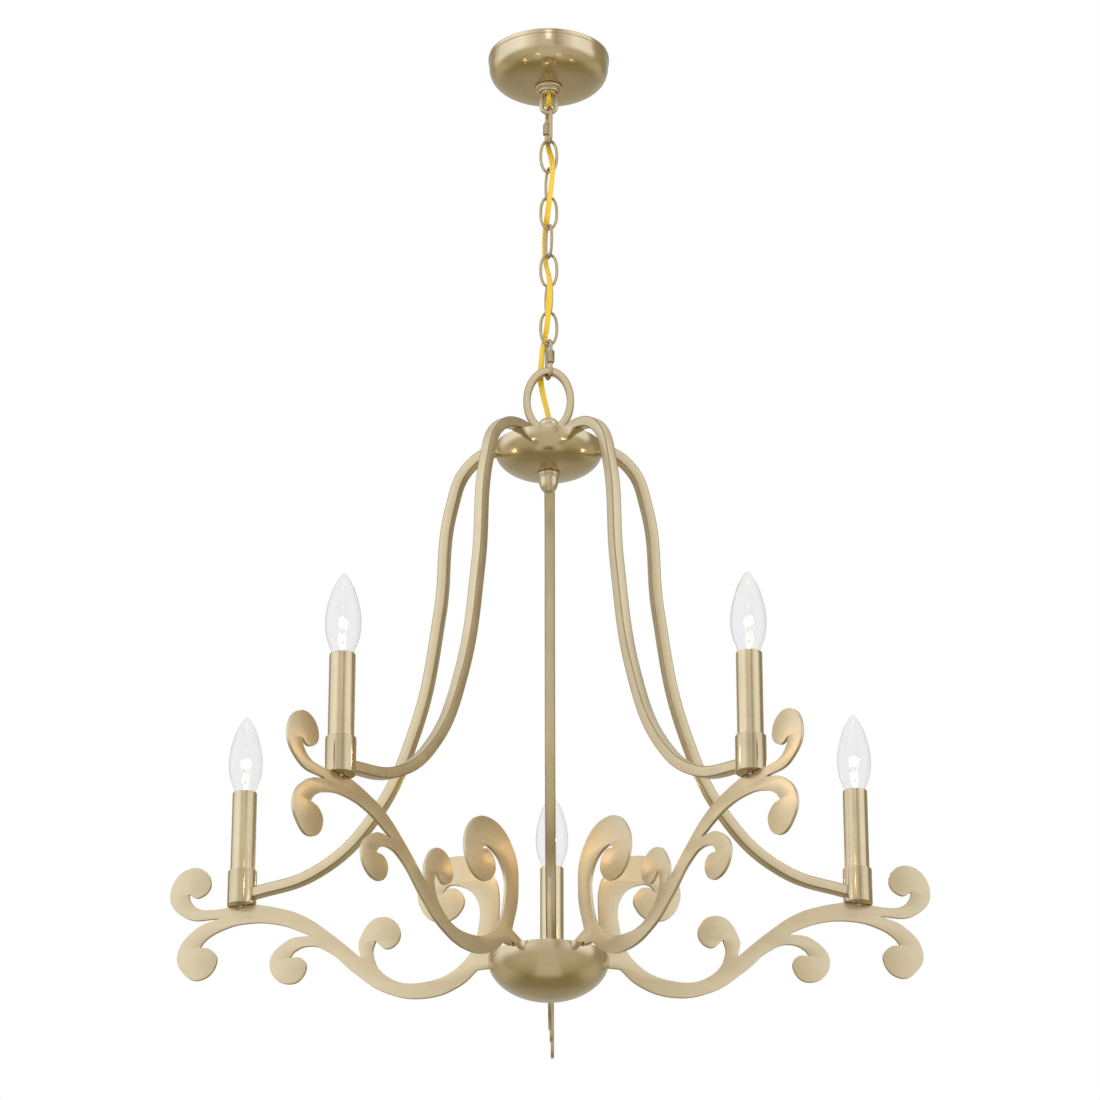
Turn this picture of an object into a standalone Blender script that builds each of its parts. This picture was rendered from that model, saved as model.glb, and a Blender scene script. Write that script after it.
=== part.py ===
"""Five-arm hanging chandelier with candle sleeves, flat scroll brackets and a small bowl below.

Metres, +Z up. The origin is the centre of the ceiling face of the mounting strap, so everything
hangs below Z = 0. A height measured on the fixture itself is taken from the top of the candle
sleeves, which hang at SLEEVE_TOP.
"""

import math

import bmesh
import bpy
from mathutils import Vector

NAME = "multi_arm_chandelier"
MM = 0.001
GAP = 0.0003  # between two pieces that touch

# Fixture
ARM_COUNT = 5
BACK_ARM_ANGLE = math.radians(90)
SLEEVE_TOP = -0.815
CANDLE_RADIUS = 0.332  # from the axis to each candle
ARM_SIDE = 0.011
ARM_WALL = 0.0011
SLEEVE_RADIUS = 0.01275
SLEEVE_WALL = 0.0009
CUP_RADIUS = 0.015
CUP_TOP = -0.086
CUP_BOTTOM = -0.1229
CUP_FLOOR = 0.002
SCREW_HEAD_RADIUS = 0.0034
SCREW_SHANK_RADIUS = 0.002
PLATE_THICKNESS = 0.0035
HUB_RADIUS = 0.020
HUB_TOP = SLEEVE_TOP + 0.362
HUB_HEIGHT = 0.023
ROD_RADIUS = 0.0048
ROD_BORE = 0.0037
ROD_HOLE = ROD_RADIUS + 0.0004  # in the pieces the rod goes through
DISH_RADIUS = 0.0567
DISH_RIM = SLEEVE_TOP + 0.346
DISH_DEPTH = 0.029
DISH_SQUARENESS = 2.3  # of the section: 2 is an ellipse, more is boxier
BOWL_RADIUS = 0.0608
BOWL_RIM = SLEEVE_TOP - 0.216
BOWL_DEPTH = 0.0413
SHEET = 0.001  # thickness of the spun dishes

# Ceiling fittings
STRAP_LENGTH = 0.100
STRAP_WIDTH = 0.019
STRAP_THICKNESS = 0.002
STRAP_SLOT_CENTRE = 0.038
CANOPY_RADIUS = 0.0655
CANOPY_LIP = 0.005
CANOPY_DEPTH = 0.036
CANOPY_SQUARENESS = 3.3
NIPPLE_RADIUS = 0.0049
NIPPLE_BORE = 0.0038
LOOP_HALF_WIDTH = 0.0076
LOOP_BAR = 0.0054
LOOP_BOTTOM = -0.0674  # centre of the bar at the loop's lowest point

# Chain
LINK_COUNT = 7
LINK_WIRE = 0.0032
LINK_HALF_WIDTH = 0.0086
LINK_HALF_LENGTH = 0.01905
LINK_SQUARENESS = 2.3
SIDEWAYS_LINK_ANGLE = math.radians(-68)  # links 2, 4 and 6 stand nearly edge-on to the first
QUICK_WIRE = 0.0038
QUICK_HALF_WIDTH = 0.0074
QUICK_HALF_LENGTH = 0.02165
QUICK_ANGLE = math.radians(-72)
QUICK_GAP = (-0.0064, -0.0018)  # the open part of the wire, under the nut
NUT_LENGTH = 0.014
NUT_CORNER = 0.0042
NUT_BORE_CORNER = 0.0026

# Hanging ring
RING_HALF_WIDTH = 0.0268
RING_BAND = 0.0078
RING_DEPTH = 0.0065
RING_LIFT = 0.0018  # a flat band rides on the bend of the wire, above its lowest point
CAP_RADIUS = 0.0112
CAP_TOP = SLEEVE_TOP + 0.381
CAP_HEIGHT = 0.0105

CORD_DIAMETER = 0.0040

# How finely round shapes are stepped
LINK_STEPS = 20
SMALL_STEPS = 16
BOWL_STEPS = 30

# Turned outlines: radius, and height from the piece's own top, in metres
COLLAR_OUTLINE = (
    (0.0148, 0),
    (0.0150, -0.0022),
    (0.0140, -0.0036),
    (0.0122, -0.0042),
    (0.0122, -0.0066),
    (0.0112, -0.0080),
    (0.0099, -0.0080),
    (0.0099, 0),
)
FINIAL_OUTLINE = (
    (0.0114, 0),
    (0.0120, -0.0018),
    (0.0112, -0.0034),
    (0.0114, -0.0052),
    (0.0103, -0.0068),
    (0.0100, -0.0118),
    (0.0082, -0.0172),
    (0.0050, -0.0210),
    (0.0014, -0.0226),
    (0, -0.0238),
)
FINIAL_BORE_DEPTH = 0.0086
POST_OUTLINE = (
    (0, 0),
    (0.0130, 0),
    (0.0140, -0.001),
    (0.0140, -0.010),
    (0.0060, -0.013),
)
POST_TOP = SLEEVE_TOP - 0.2215
POST_FOOT_RADIUS = 0.0060
POST_PIN_RADIUS = 0.0020
SOCKET_OUTLINE = (
    (0, -0.034),
    (0.0064, -0.034),
    (0.0064, -0.013),
    (0.0085, -0.013),
    (0.0085, -0.046),
    (0.0055, -0.050),
)
SOCKET_FOOT_RADIUS = 0.0055

# Arm centre line: millimetres out from the axis, and above the top of the sleeves
ARM_LINE = (
    (21.8, 347.5),
    (52, 353),
    (88, 337),
    (107, 293),
    (119, 174),
    (146, 43),
    (192, -48),
    (250, -95.2),
    (325, -112),
)

# Scroll bracket, same two measures. A corner is marked; the other points lie on smooth curves.
CORNER = True
SCROLL_OUTLINE = (
    # seat under the cup, with a notch for the screw head
    (315.7, -123.3, CORNER),
    (327.5, -123.3, CORNER),
    (327.5, -127.0, CORNER),
    (336.5, -127.0, CORNER),
    (336.5, -123.3, CORNER),
    (346.0, -123.3, CORNER),
    # upper outer scroll
    (363, -124),
    (379, -121),
    (388.6, -111.4),
    (390.6, -104.3, CORNER),
    (379, -109),
    (366.3, -94.3),
    (387.7, -75.7),
    (411.4, -102.9),
    (393, -129.4),
    (356.3, -134.3, CORNER),
    # lower outer scroll
    (381.4, -142.9),
    (401, -168),
    (395.7, -187),
    (375.7, -198.3),
    (357.4, -180),
    (364, -167),
    (376.3, -163.1, CORNER),
    (370, -155.7),
    (349, -146),
    (324.3, -142.9),
    (290, -148),
    (254.6, -163.7, CORNER),
    # middle scroll and the long sweep under it
    (281.4, -167),
    (298.9, -191.4),
    (275, -213),
    (259, -198.6),
    (264, -187),
    (276.9, -185, CORNER),
    (271.4, -178.6),
    (254, -175),
    (235.7, -183),
    (207, -208.6),
    (173, -233),
    (130, -243.4),
    (93, -234),
    (75, -219.5, CORNER),
    # tongue over the rim of the bowl
    (62.6, -219.5, CORNER),
    (62.6, -215.6, CORNER),
    (58.2, -215.6, CORNER),
    (55, -218.5, CORNER),
    (14.4, -230, CORNER),
    (14.4, -223, CORNER),
    (62, -203, CORNER),
    # big inner scroll
    (52.3, -163),
    (61.4, -117),
    (100, -96.5),
    (133, -114.3),
    (135.7, -148.6),
    (113, -165),
    (91.4, -153),
    (92, -137),
    (104.3, -130),
    (112, -134.3, CORNER),
    (107, -128),
    (98.6, -127.4),
    (77, -143),
    (74.3, -177),
    (90, -210),
    (131, -226.5),
    (170, -217),
    (187, -190),
    # small inner scroll and the top of the main stem
    (184.3, -177.5, CORNER),
    (170, -187),
    (157.7, -171.4),
    (179, -152.3),
    (201.4, -174.3),
    (200.3, -193, CORNER),
    (230, -166.3),
    (265, -140.5),
    (293, -129.4),
)

# Bulb outline: half-width and height above the sleeve, in millimetres, from tip to contact
BULB_OUTLINE = (
    (0, 86),
    (3.2, 83.2),
    (6.0, 78),
    (9.0, 72.5),
    (11.6, 66),
    (13.6, 59),
    (15.6, 51.5),
    (16.9, 44),
    (17.5, 36),
    (17.4, 28),
    (16.4, 20),
    (14.6, 13.5),
    (12.4, 7.5),
    (10.6, 1.5),
    (8.6, -6),
    (6.0, -12),
    (6.0, -30),
    (2.5, -32),
    (0, -32),
)

# Supply lead, laced through the chain: the middle of the flex, in millimetres
CORD_ROUTE = (
    (0, 0, -5),
    (0, 0, -30),
    (0, 0, -45),
    (0, 3.6, -53.5),
    (-0.4, 9, -60),
    (-1.2, 12.6, -67.5),
    (-1.8, 13.8, -77),
    (-1.9, 13.7, -90),
    (-1.5, 13.0, -98),
    (-0.3, 10.2, -106),
    (1.0, 5.8, -114),
    (2.5, 0.5, -121.5),
    (3.5, -4.6, -130),
    (4.2, -9.2, -138.5),
    (4.0, -11.9, -147),
    (3.5, -12.6, -156),
    (2.6, -12.0, -165),
    (1.5, -9.6, -174),
    (0.2, -6.2, -181.5),
    (-0.9, -2.2, -188.5),
    (-1.8, 1.6, -195),
    (-2.8, 5.2, -201),
    (-3.7, 9.0, -208),
    (-4.3, 11.9, -216.5),
    (-4.4, 12.7, -226),
    (-4.1, 12.0, -235),
    (-3.5, 9.4, -243.5),
    (-2.7, 5.8, -251),
    (-1.5, 1.8, -258),
    (-0.4, -2.2, -264.5),
    (0.5, -6.0, -271),
    (1.1, -9.6, -278.5),
    (1.2, -12.0, -287),
    (0.9, -12.6, -296),
    (0.3, -11.6, -305),
    (-0.4, -8.4, -314),
    (-1.3, -4.0, -322),
    (-2.3, 0.4, -329.5),
    (-3.7, 4.0, -336.5),
    (-5.5, 5.8, -344),
    (-7.0, 6.6, -353),
    (-7.8, 6.7, -364),
    (-8.6, 6.9, -376),
    (-8.4, 6.6, -388),
    (-7.0, 5.0, -399),
    (-4.8, 2.8, -411),
    (-2.2, 0.9, -423),
    (-0.4, 0.0, -433),
    (0, 0, -444),
    (0, 0, -452),
)


# ---------------------------------------------------------------- tools

def clear_scene():
    for found in list(bpy.data.objects):
        bpy.data.objects.remove(found, do_unlink=True)


def collection(name):
    made = bpy.data.collections.new(name)
    bpy.context.scene.collection.children.link(made)
    return made


def material(name, colour, roughness, metallic=0.0, transmission=0.0):
    made = bpy.data.materials.new(name)
    made.use_nodes = True
    shader = made.node_tree.nodes["Principled BSDF"]
    shader.inputs["Base Color"].default_value = (*colour, 1.0)
    shader.inputs["Roughness"].default_value = roughness
    shader.inputs["Metallic"].default_value = metallic
    shader.inputs["Transmission Weight"].default_value = transmission
    made.diffuse_color = (*colour, 1.0)
    return made


def satin_brass(name):
    return material(name + "_satin_brass", (0.60, 0.51, 0.36), 0.32, 1.0)


def place(found, location=(0, 0, 0), turn=0.0, parent=None):
    """Locates an object on its own, or inside the empty that carries it."""
    found.location = location
    found.rotation_euler = (found.rotation_euler.x, found.rotation_euler.y, turn)
    if parent:
        found.parent = parent
    return found


def empty(name, location=(0, 0, 0), turn=0.0):
    made = bpy.data.objects.new(name, None)
    PARTS.objects.link(made)
    return place(made, location, turn)


def new_object(name, data, finish):
    made = bpy.data.objects.new(name, data)
    PARTS.objects.link(made)
    if not data.materials:
        data.materials.append(finish)
    return made


def turned(name, profile, steps, finish):
    """A turned solid. The profile holds (radius, height) down its outer side; it is closed on itself,
    or ends on the axis at both ends."""
    on_axis = profile[0][0] == 0 and profile[-1][0] == 0
    count = len(profile)
    edges = [(i, (i + 1) % count) for i in range(count - 1 if on_axis else count)]
    mesh = bpy.data.meshes.new(name)
    mesh.from_pydata([(radius, 0, height) for radius, height in profile], edges, [])
    made = new_object(name, mesh, finish)
    screw = made.modifiers.new("turn", "SCREW")
    screw.steps = steps
    screw.render_steps = steps
    screw.use_merge_vertices = True
    screw.merge_threshold = 0.00001
    return made


def curve(name, finish, flat=False):
    data = bpy.data.curves.new(name, "CURVE")
    data.dimensions = "2D" if flat else "3D"
    return new_object(name, data, finish)


def poly(data, points, closed):
    line = data.splines.new("POLY")
    line.points.add(len(points) - 1)
    for point, place_at in zip(line.points, points):
        point.co = (*place_at, 1)
    line.use_cyclic_u = closed
    line.use_smooth = data.dimensions == "3D"


def bezier(data, points, closed):
    """A Bezier line through (x, y) points; a third value marks a corner."""
    line = data.splines.new("BEZIER")
    line.bezier_points.add(len(points) - 1)
    for point, given in zip(line.bezier_points, points):
        point.co = (given[0] * MM, given[1] * MM, 0)
        kind = "VECTOR" if len(given) > 2 else "AUTO"
        point.handle_left_type = kind
        point.handle_right_type = kind
    line.use_cyclic_u = closed
    line.use_smooth = False


def wire(name, points, diameter, finish, closed=False, resolution=2):
    """A round wire through 3D points."""
    made = curve(name, finish)
    poly(made.data, points, closed)
    made.data.bevel_depth = diameter / 2
    made.data.bevel_resolution = resolution
    made.data.use_fill_caps = True
    return made


def as_mesh(source):
    """Turns a curve object into a welded mesh object of the same name and place."""
    bpy.context.view_layer.update()
    evaluated = source.evaluated_get(bpy.context.evaluated_depsgraph_get())
    mesh = bpy.data.meshes.new_from_object(evaluated)
    name = source.name
    matrix = source.matrix_world.copy()
    bpy.data.objects.remove(source, do_unlink=True)
    work = welded(mesh)
    work.to_mesh(mesh)
    work.free()
    made = bpy.data.objects.new(name, mesh)
    PARTS.objects.link(made)
    made.matrix_world = matrix
    return made


def welded(mesh):
    work = bmesh.new()
    work.from_mesh(mesh)
    bmesh.ops.remove_doubles(work, verts=work.verts, dist=0.000005)
    bmesh.ops.recalc_face_normals(work, faces=work.faces)
    return work


def cutter(found):
    found.hide_render = True
    found.display_type = "WIRE"
    for holder in list(found.users_collection):
        holder.objects.unlink(found)
    CUTTERS.objects.link(found)
    return found


def boolean(target, other, operation):
    change = target.modifiers.new(operation.lower(), "BOOLEAN")
    change.object = other
    change.operation = operation
    change.solver = "EXACT"


def superellipse(half_width, half_height, squareness, count, start=0.0, end=math.tau):
    """Points of a rounded box between two angles, the end angle left out on a full turn."""
    full = abs(end - start) > math.tau - 0.001
    steps = count if full else count - 1
    points = []
    for i in range(count):
        angle = start + (end - start) * i / steps
        x, y = math.cos(angle), math.sin(angle)
        points.append((
            half_width * math.copysign(abs(x) ** (2 / squareness), x),
            half_height * math.copysign(abs(y) ** (2 / squareness), y),
        ))
    return points


def dish_profile(radius, depth, rim, hole, level, squareness):
    """A spun sheet dish, rim up: outer side down to the hole in its middle, then back up inside.
    It is flat out to the radius called level."""
    outer = superellipse(radius, depth, squareness, 8, 0, -math.pi / 2)
    inner = superellipse(radius - SHEET, depth - SHEET, squareness, 8, 0, -math.pi / 2)

    def section(points):
        bottom = rim + points[-1][1]
        kept = [(r, rim + z) for r, z in points if r > level * 1.2]
        return kept + [(level, bottom), (hole, bottom)]

    return section(outer) + section(inner)[::-1]


# ---------------------------------------------------------------- ceiling fittings

def mounting_strap():
    bpy.ops.mesh.primitive_cube_add(size=1, location=(0, 0, -STRAP_THICKNESS / 2))
    strap = bpy.context.object
    strap.name = "mounting_strap"
    strap.data.transform(
        ((STRAP_LENGTH, 0, 0, 0), (0, STRAP_WIDTH, 0, 0), (0, 0, STRAP_THICKNESS, 0), (0, 0, 0, 1))
    )
    for holder in list(strap.users_collection):
        holder.objects.unlink(strap)
    PARTS.objects.link(strap)
    strap.data.materials.append(material("strap_zinc", (0.62, 0.62, 0.60), 0.4, 1.0))
    for side in (-1, 1):
        slot = curve("strap_slot_%d" % (side + 2), None, flat=True)
        poly(slot.data, [(x, y, 0) for x, y in superellipse(0.007, 0.0024, 4, 12)], True)
        slot.data.fill_mode = "BOTH"
        slot.data.extrude = STRAP_THICKNESS * 2
        slot.location.x = side * STRAP_SLOT_CENTRE
        slot = cutter(as_mesh(slot))
        boolean(strap, slot, "DIFFERENCE")


def threaded_nipple():
    top = -STRAP_THICKNESS - GAP
    turned("threaded_nipple", (
        (NIPPLE_RADIUS, top),
        (NIPPLE_RADIUS, -0.0438),
        (NIPPLE_BORE, -0.0438),
        (NIPPLE_BORE, top),
    ), SMALL_STEPS, material("nipple_zinc", (0.62, 0.60, 0.55), 0.4, 1.0))


def canopy():
    hole = NIPPLE_RADIUS + 0.0004
    outer = [(CANOPY_RADIUS, 0), (CANOPY_RADIUS, -CANOPY_LIP)]
    shoulder = CANOPY_RADIUS - 0.0007
    inside = shoulder - SHEET
    bottom = CANOPY_DEPTH - CANOPY_LIP
    bend = superellipse(shoulder, bottom, CANOPY_SQUARENESS, 8, 0, -math.pi / 2)
    hollow = superellipse(inside, bottom - SHEET, CANOPY_SQUARENESS, 8, 0, -math.pi / 2)
    outer += [(r, z - CANOPY_LIP) for r, z in bend if r > 0.012] + [(hole, -CANOPY_DEPTH)]
    inner = [(hole, -CANOPY_DEPTH + SHEET)]
    inner += [(r, z - CANOPY_LIP) for r, z in reversed(hollow) if r > 0.012] + [(inside, 0)]
    turned("canopy", outer + inner, BOWL_STEPS, satin_brass("canopy"))


def canopy_collar():
    top = -CANOPY_DEPTH - GAP
    profile = [(radius, top + height) for radius, height in COLLAR_OUTLINE]
    turned("canopy_collar", profile, SMALL_STEPS, satin_brass("collar"))


def canopy_loop():
    """Turned stem with a bore for the nipple and the lead, and a cast U joined to its foot."""
    top = -CANOPY_DEPTH - GAP
    foot = -0.0460
    bore = NIPPLE_RADIUS + 0.0004
    stem = turned("canopy_loop", (
        (0.0094, top),
        (0.0094, -0.0430),
        (0.0090, foot),
        (0.0042, foot),
        (0.0042, -0.0442),
        (bore, -0.0442),
        (bore, top),
    ), SMALL_STEPS, satin_brass("loop"))
    centre = LOOP_BOTTOM + LOOP_HALF_WIDTH
    side = [(LOOP_HALF_WIDTH, 0, foot + 0.0012), (LOOP_HALF_WIDTH, 0, (foot + centre) / 2)]
    bend = [
        (LOOP_HALF_WIDTH * math.cos(angle), 0, centre - LOOP_HALF_WIDTH * math.sin(angle))
        for angle in [math.pi * i / 10 for i in range(11)]
    ]
    other = [(-x, y, z) for x, y, z in reversed(side)]
    bar = wire("loop_bar", side + bend + other, LOOP_BAR, None, resolution=2)
    boolean(stem, cutter(as_mesh(bar)), "UNION")


# ---------------------------------------------------------------- chain

def direction(angle):
    return Vector((math.cos(angle), math.sin(angle), 0))


def chain_link(number, top, angle):
    """A closed oval link. Its origin is on the wire above, where it hinges."""
    hinge = top - LINK_WIRE - GAP if number > 1 else top - (LINK_WIRE + QUICK_WIRE) / 2 - GAP
    centre = top - LINK_HALF_LENGTH - hinge
    points = [
        (x, 0, centre + z)
        for x, z in superellipse(LINK_HALF_WIDTH, LINK_HALF_LENGTH, LINK_SQUARENESS, LINK_STEPS)
    ]
    name = "chain_link_%d" % number
    link = wire(name, points, LINK_WIRE, satin_brass(name), closed=True, resolution=1)
    return place(link, (0, 0, hinge), angle)


def quick_link(name, top, hinge, angle, nut_side):
    """A screw-lock link: a C of round wire, and the long nut that closes its gap."""
    centre = top - QUICK_HALF_LENGTH - hinge
    straight = QUICK_HALF_LENGTH - QUICK_HALF_WIDTH
    low, high = QUICK_GAP
    turns = [math.pi * i / 8 for i in range(9)]
    over = [
        (nut_side * QUICK_HALF_WIDTH * math.cos(a), 0, centre + straight + QUICK_HALF_WIDTH * math.sin(a))
        for a in turns
    ]
    under = [
        (-nut_side * QUICK_HALF_WIDTH * math.cos(a), 0, centre - straight - QUICK_HALF_WIDTH * math.sin(a))
        for a in turns
    ]
    start = [(nut_side * QUICK_HALF_WIDTH, 0, centre + high)]
    end = [(nut_side * QUICK_HALF_WIDTH, 0, centre + low)]
    link = wire(name, start + over + under + end, QUICK_WIRE, satin_brass(name), resolution=1)
    place(link, (0, 0, hinge), angle)
    half = NUT_LENGTH / 2
    nut = turned(name + "_nut", (
        (NUT_CORNER, half),
        (NUT_CORNER, -half),
        (NUT_BORE_CORNER, -half),
        (NUT_BORE_CORNER, half),
    ), 6, satin_brass(name + "_nut"))
    place(nut, (nut_side * QUICK_HALF_WIDTH, 0, centre), 0.0, parent=link)


def chain():
    """Hangs every link on the one above it and returns the height of the lowest wire's centre."""
    top = LOOP_BOTTOM + LOOP_BAR / 2 + GAP + QUICK_WIRE / 2
    quick_link("quick_link_upper", top, LOOP_BOTTOM, QUICK_ANGLE, -1)
    bottom = top - 2 * QUICK_HALF_LENGTH
    above = QUICK_WIRE
    for number in range(1, LINK_COUNT + 1):
        top = bottom + above / 2 + GAP + LINK_WIRE / 2
        chain_link(number, top, 0.0 if number % 2 else SIDEWAYS_LINK_ANGLE)
        bottom = top - 2 * LINK_HALF_LENGTH
        above = LINK_WIRE
    top = bottom + above / 2 + GAP + QUICK_WIRE / 2
    quick_link("quick_link_lower", top, bottom, QUICK_ANGLE, 1)
    return top - 2 * QUICK_HALF_LENGTH


def power_cord():
    route = [Vector(p) * MM for p in CORD_ROUTE]
    finish = material("cord_gold", (0.78, 0.55, 0.08), 0.35)
    wire("power_cord", route, CORD_DIAMETER, finish, resolution=2)


# ---------------------------------------------------------------- hub

def hub_ring(hung_from):
    """Flat oval band with a level seat and a hole at its foot. It hangs on the wire at hung_from."""
    top = hung_from + QUICK_WIRE / 2 + RING_LIFT + RING_BAND
    foot = HUB_TOP + GAP
    centre = (top + foot) / 2
    half = (top - foot) / 2
    band = curve("hub_ring", satin_brass("ring"), flat=True)
    outer = superellipse(RING_HALF_WIDTH, half, 2, 36)
    inner = superellipse(RING_HALF_WIDTH - RING_BAND, half - RING_BAND, 2, 28)
    poly(band.data, [(x, y, 0) for x, y in outer], True)
    poly(band.data, [(x, y, 0) for x, y in inner], True)
    band.data.fill_mode = "BOTH"
    band.data.extrude = RING_DEPTH / 2
    band.rotation_euler = (math.pi / 2, 0, 0)
    band.location.z = centre
    band = as_mesh(band)
    seat = foot + RING_BAND
    recess = turned("ring_recess", (
        (0, seat + 0.012),
        (CAP_RADIUS + GAP, seat + 0.012),
        (CAP_RADIUS + GAP, seat),
        (ROD_HOLE, seat),
        (ROD_HOLE, foot - 0.004),
        (0, foot - 0.004),
    ), 24, None)
    boolean(band, cutter(recess), "DIFFERENCE")
    return band


def hub_cap():
    """Small domed nut in the ring's foot, with a hole in its crown for the lead."""
    base = CAP_TOP - CAP_HEIGHT
    hole = 0.0030
    dome = superellipse(CAP_RADIUS - GAP, CAP_HEIGHT - 0.001, 2, 7, math.pi / 2, 0)
    outer = [(hole, CAP_TOP)] + [(r, base + 0.001 + z) for r, z in dome if r > hole + 0.001]
    thread_end = base + 0.0055
    profile = outer + [
        (CAP_RADIUS - GAP, base),
        (ROD_HOLE, base),
        (ROD_HOLE, thread_end),
        (hole, thread_end),
    ]
    turned("hub_cap", profile, SMALL_STEPS, satin_brass("cap"))


def hub_core():
    turned("hub_core", (
        (HUB_RADIUS - 0.002, HUB_TOP),
        (HUB_RADIUS, HUB_TOP - 0.002),
        (HUB_RADIUS, HUB_TOP - HUB_HEIGHT),
        (ROD_HOLE, HUB_TOP - HUB_HEIGHT),
        (ROD_HOLE, HUB_TOP),
    ), BOWL_STEPS, satin_brass("core"))


def hub_rod():
    top = CAP_TOP - CAP_HEIGHT + 0.0052
    bottom = DISH_RIM - DISH_DEPTH - 0.008
    turned("hub_rod", (
        (ROD_RADIUS, top),
        (ROD_RADIUS, bottom),
        (ROD_BORE, bottom),
        (ROD_BORE, top),
    ), SMALL_STEPS, material("rod_zinc", (0.62, 0.60, 0.55), 0.4, 1.0))


def hub_dish():
    level = FINIAL_OUTLINE[0][0]
    profile = dish_profile(DISH_RADIUS, DISH_DEPTH, DISH_RIM, ROD_HOLE, level, DISH_SQUARENESS)
    turned("hub_dish", profile, BOWL_STEPS, satin_brass("dish"))


def hub_finial():
    """Ringed washer and acorn nut under the dish, bored for the end of the rod."""
    top = DISH_RIM - DISH_DEPTH - GAP
    bore_end = top - FINIAL_BORE_DEPTH
    profile = [(0, bore_end), (ROD_HOLE, bore_end), (ROD_HOLE, top)]
    profile += [(radius, top + height) for radius, height in FINIAL_OUTLINE]
    turned("hub_finial", profile, SMALL_STEPS, satin_brass("finial"))


# ---------------------------------------------------------------- arms

def arm_mesh():
    """One curved square tube, cut to the round of the cup, in the plane of its arm."""
    tubes = []
    for name, side in (("arm_tube", ARM_SIDE), ("arm_bore", ARM_SIDE - 2 * ARM_WALL)):
        section = curve(name + "_section", None, flat=True)
        half = side / 2
        poly(section.data, [(half, half, 0), (-half, half, 0), (-half, -half, 0), (half, -half, 0)], True)
        tube = curve(name, None, flat=True)
        line = ARM_LINE
        if name == "arm_bore":
            line = ((ARM_LINE[0][0] - 1, ARM_LINE[0][1] - 0.3),) + ARM_LINE[1:]
        bezier(tube.data, line, False)
        tube.data.resolution_u = 3
        tube.data.bevel_mode = "OBJECT"
        tube.data.bevel_object = section
        tube.data.use_fill_caps = True
        tube.rotation_euler = (math.pi / 2, 0, 0)
        tubes.append(as_mesh(tube))
        bpy.data.objects.remove(section, do_unlink=True)
    outer, bore = tubes
    bpy.ops.mesh.primitive_cylinder_add(
        vertices=40, radius=CUP_RADIUS + GAP, depth=0.08, location=(CANDLE_RADIUS, 0, -0.109)
    )
    cup = bpy.context.object
    boolean(outer, bore, "DIFFERENCE")
    boolean(outer, cup, "DIFFERENCE")
    bpy.context.view_layer.update()
    evaluated = outer.evaluated_get(bpy.context.evaluated_depsgraph_get())
    mesh = bpy.data.meshes.new_from_object(evaluated)
    mesh.transform(outer.matrix_world)
    for used in (outer, bore, cup):
        bpy.data.objects.remove(used, do_unlink=True)
    return mesh


def scroll_curve():
    """One flat scroll bracket, lying in its own X and Y."""
    made = curve("scroll_1", satin_brass("scroll"), flat=True)
    bezier(made.data, SCROLL_OUTLINE, True)
    made.data.resolution_u = 2
    made.data.fill_mode = "BOTH"
    made.data.extrude = PLATE_THICKNESS / 2
    made.rotation_euler = (math.pi / 2, 0, 0)
    return made


def candle(number, holder):
    """Cup, sleeve, socket, bulb and screw at the end of one arm, standing on the holder empty."""
    floor = CUP_BOTTOM + CUP_FLOOR
    screw_hole = SCREW_SHANK_RADIUS + 0.0004
    inside = SLEEVE_RADIUS + GAP
    cup = turned("cup_%d" % number, (
        (CUP_RADIUS, CUP_TOP),
        (CUP_RADIUS, CUP_BOTTOM),
        (screw_hole, CUP_BOTTOM),
        (screw_hole, floor),
        (inside, floor),
        (inside, CUP_TOP),
    ), 20, satin_brass("cup_%d" % number))
    sleeve = turned("candle_sleeve_%d" % number, (
        (SLEEVE_RADIUS, 0),
        (SLEEVE_RADIUS, floor + GAP),
        (SLEEVE_RADIUS - SLEEVE_WALL, floor + GAP),
        (SLEEVE_RADIUS - SLEEVE_WALL, 0),
    ), 20, satin_brass("sleeve_%d" % number))
    hole_end = floor + 0.010
    socket = turned("socket_%d" % number, SOCKET_OUTLINE + (
        (SOCKET_FOOT_RADIUS, floor + GAP),
        (screw_hole, floor + GAP),
        (screw_hole, hole_end),
        (0, hole_end),
    ), 12, material("socket_%d_white" % number, (0.85, 0.84, 0.80), 0.5))
    outline = [(radius * MM, height * MM) for radius, height in BULB_OUTLINE]
    glass = material("bulb_%d_glass" % number, (0.95, 0.97, 1.0), 0.02, transmission=1.0)
    bulb = turned("bulb_%d" % number, outline, 14, glass)
    head_top = CUP_BOTTOM - GAP
    screw = turned("cup_screw_%d" % number, (
        (0, floor + 0.008),
        (SCREW_SHANK_RADIUS, floor + 0.008),
        (SCREW_SHANK_RADIUS, head_top),
        (SCREW_HEAD_RADIUS, head_top),
        (SCREW_HEAD_RADIUS, head_top - 0.0012),
        (SCREW_SHANK_RADIUS, head_top - 0.0022),
        (0, head_top - 0.0022),
    ), 10, satin_brass("screw_%d" % number))
    for piece in (cup, sleeve, socket, bulb, screw):
        place(piece, parent=holder)


def arms():
    tube = arm_mesh()
    scroll = None
    for number in range(1, ARM_COUNT + 1):
        angle = BACK_ARM_ANGLE + math.tau * (number - 1) / ARM_COUNT
        arm = new_object("arm_%d" % number, tube, satin_brass("arm"))
        place(arm, (0, 0, SLEEVE_TOP), angle)
        if scroll is None:
            scroll = scroll_curve()
        else:
            scroll = new_object("scroll_%d" % number, scroll.data, None)
            scroll.rotation_euler = (math.pi / 2, 0, 0)
        place(scroll, (0, 0, SLEEVE_TOP), angle)
        out = direction(angle) * CANDLE_RADIUS
        candle(number, empty("candle_%d_holder" % number, (out.x, out.y, SLEEVE_TOP), angle))


# ---------------------------------------------------------------- bowl

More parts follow.
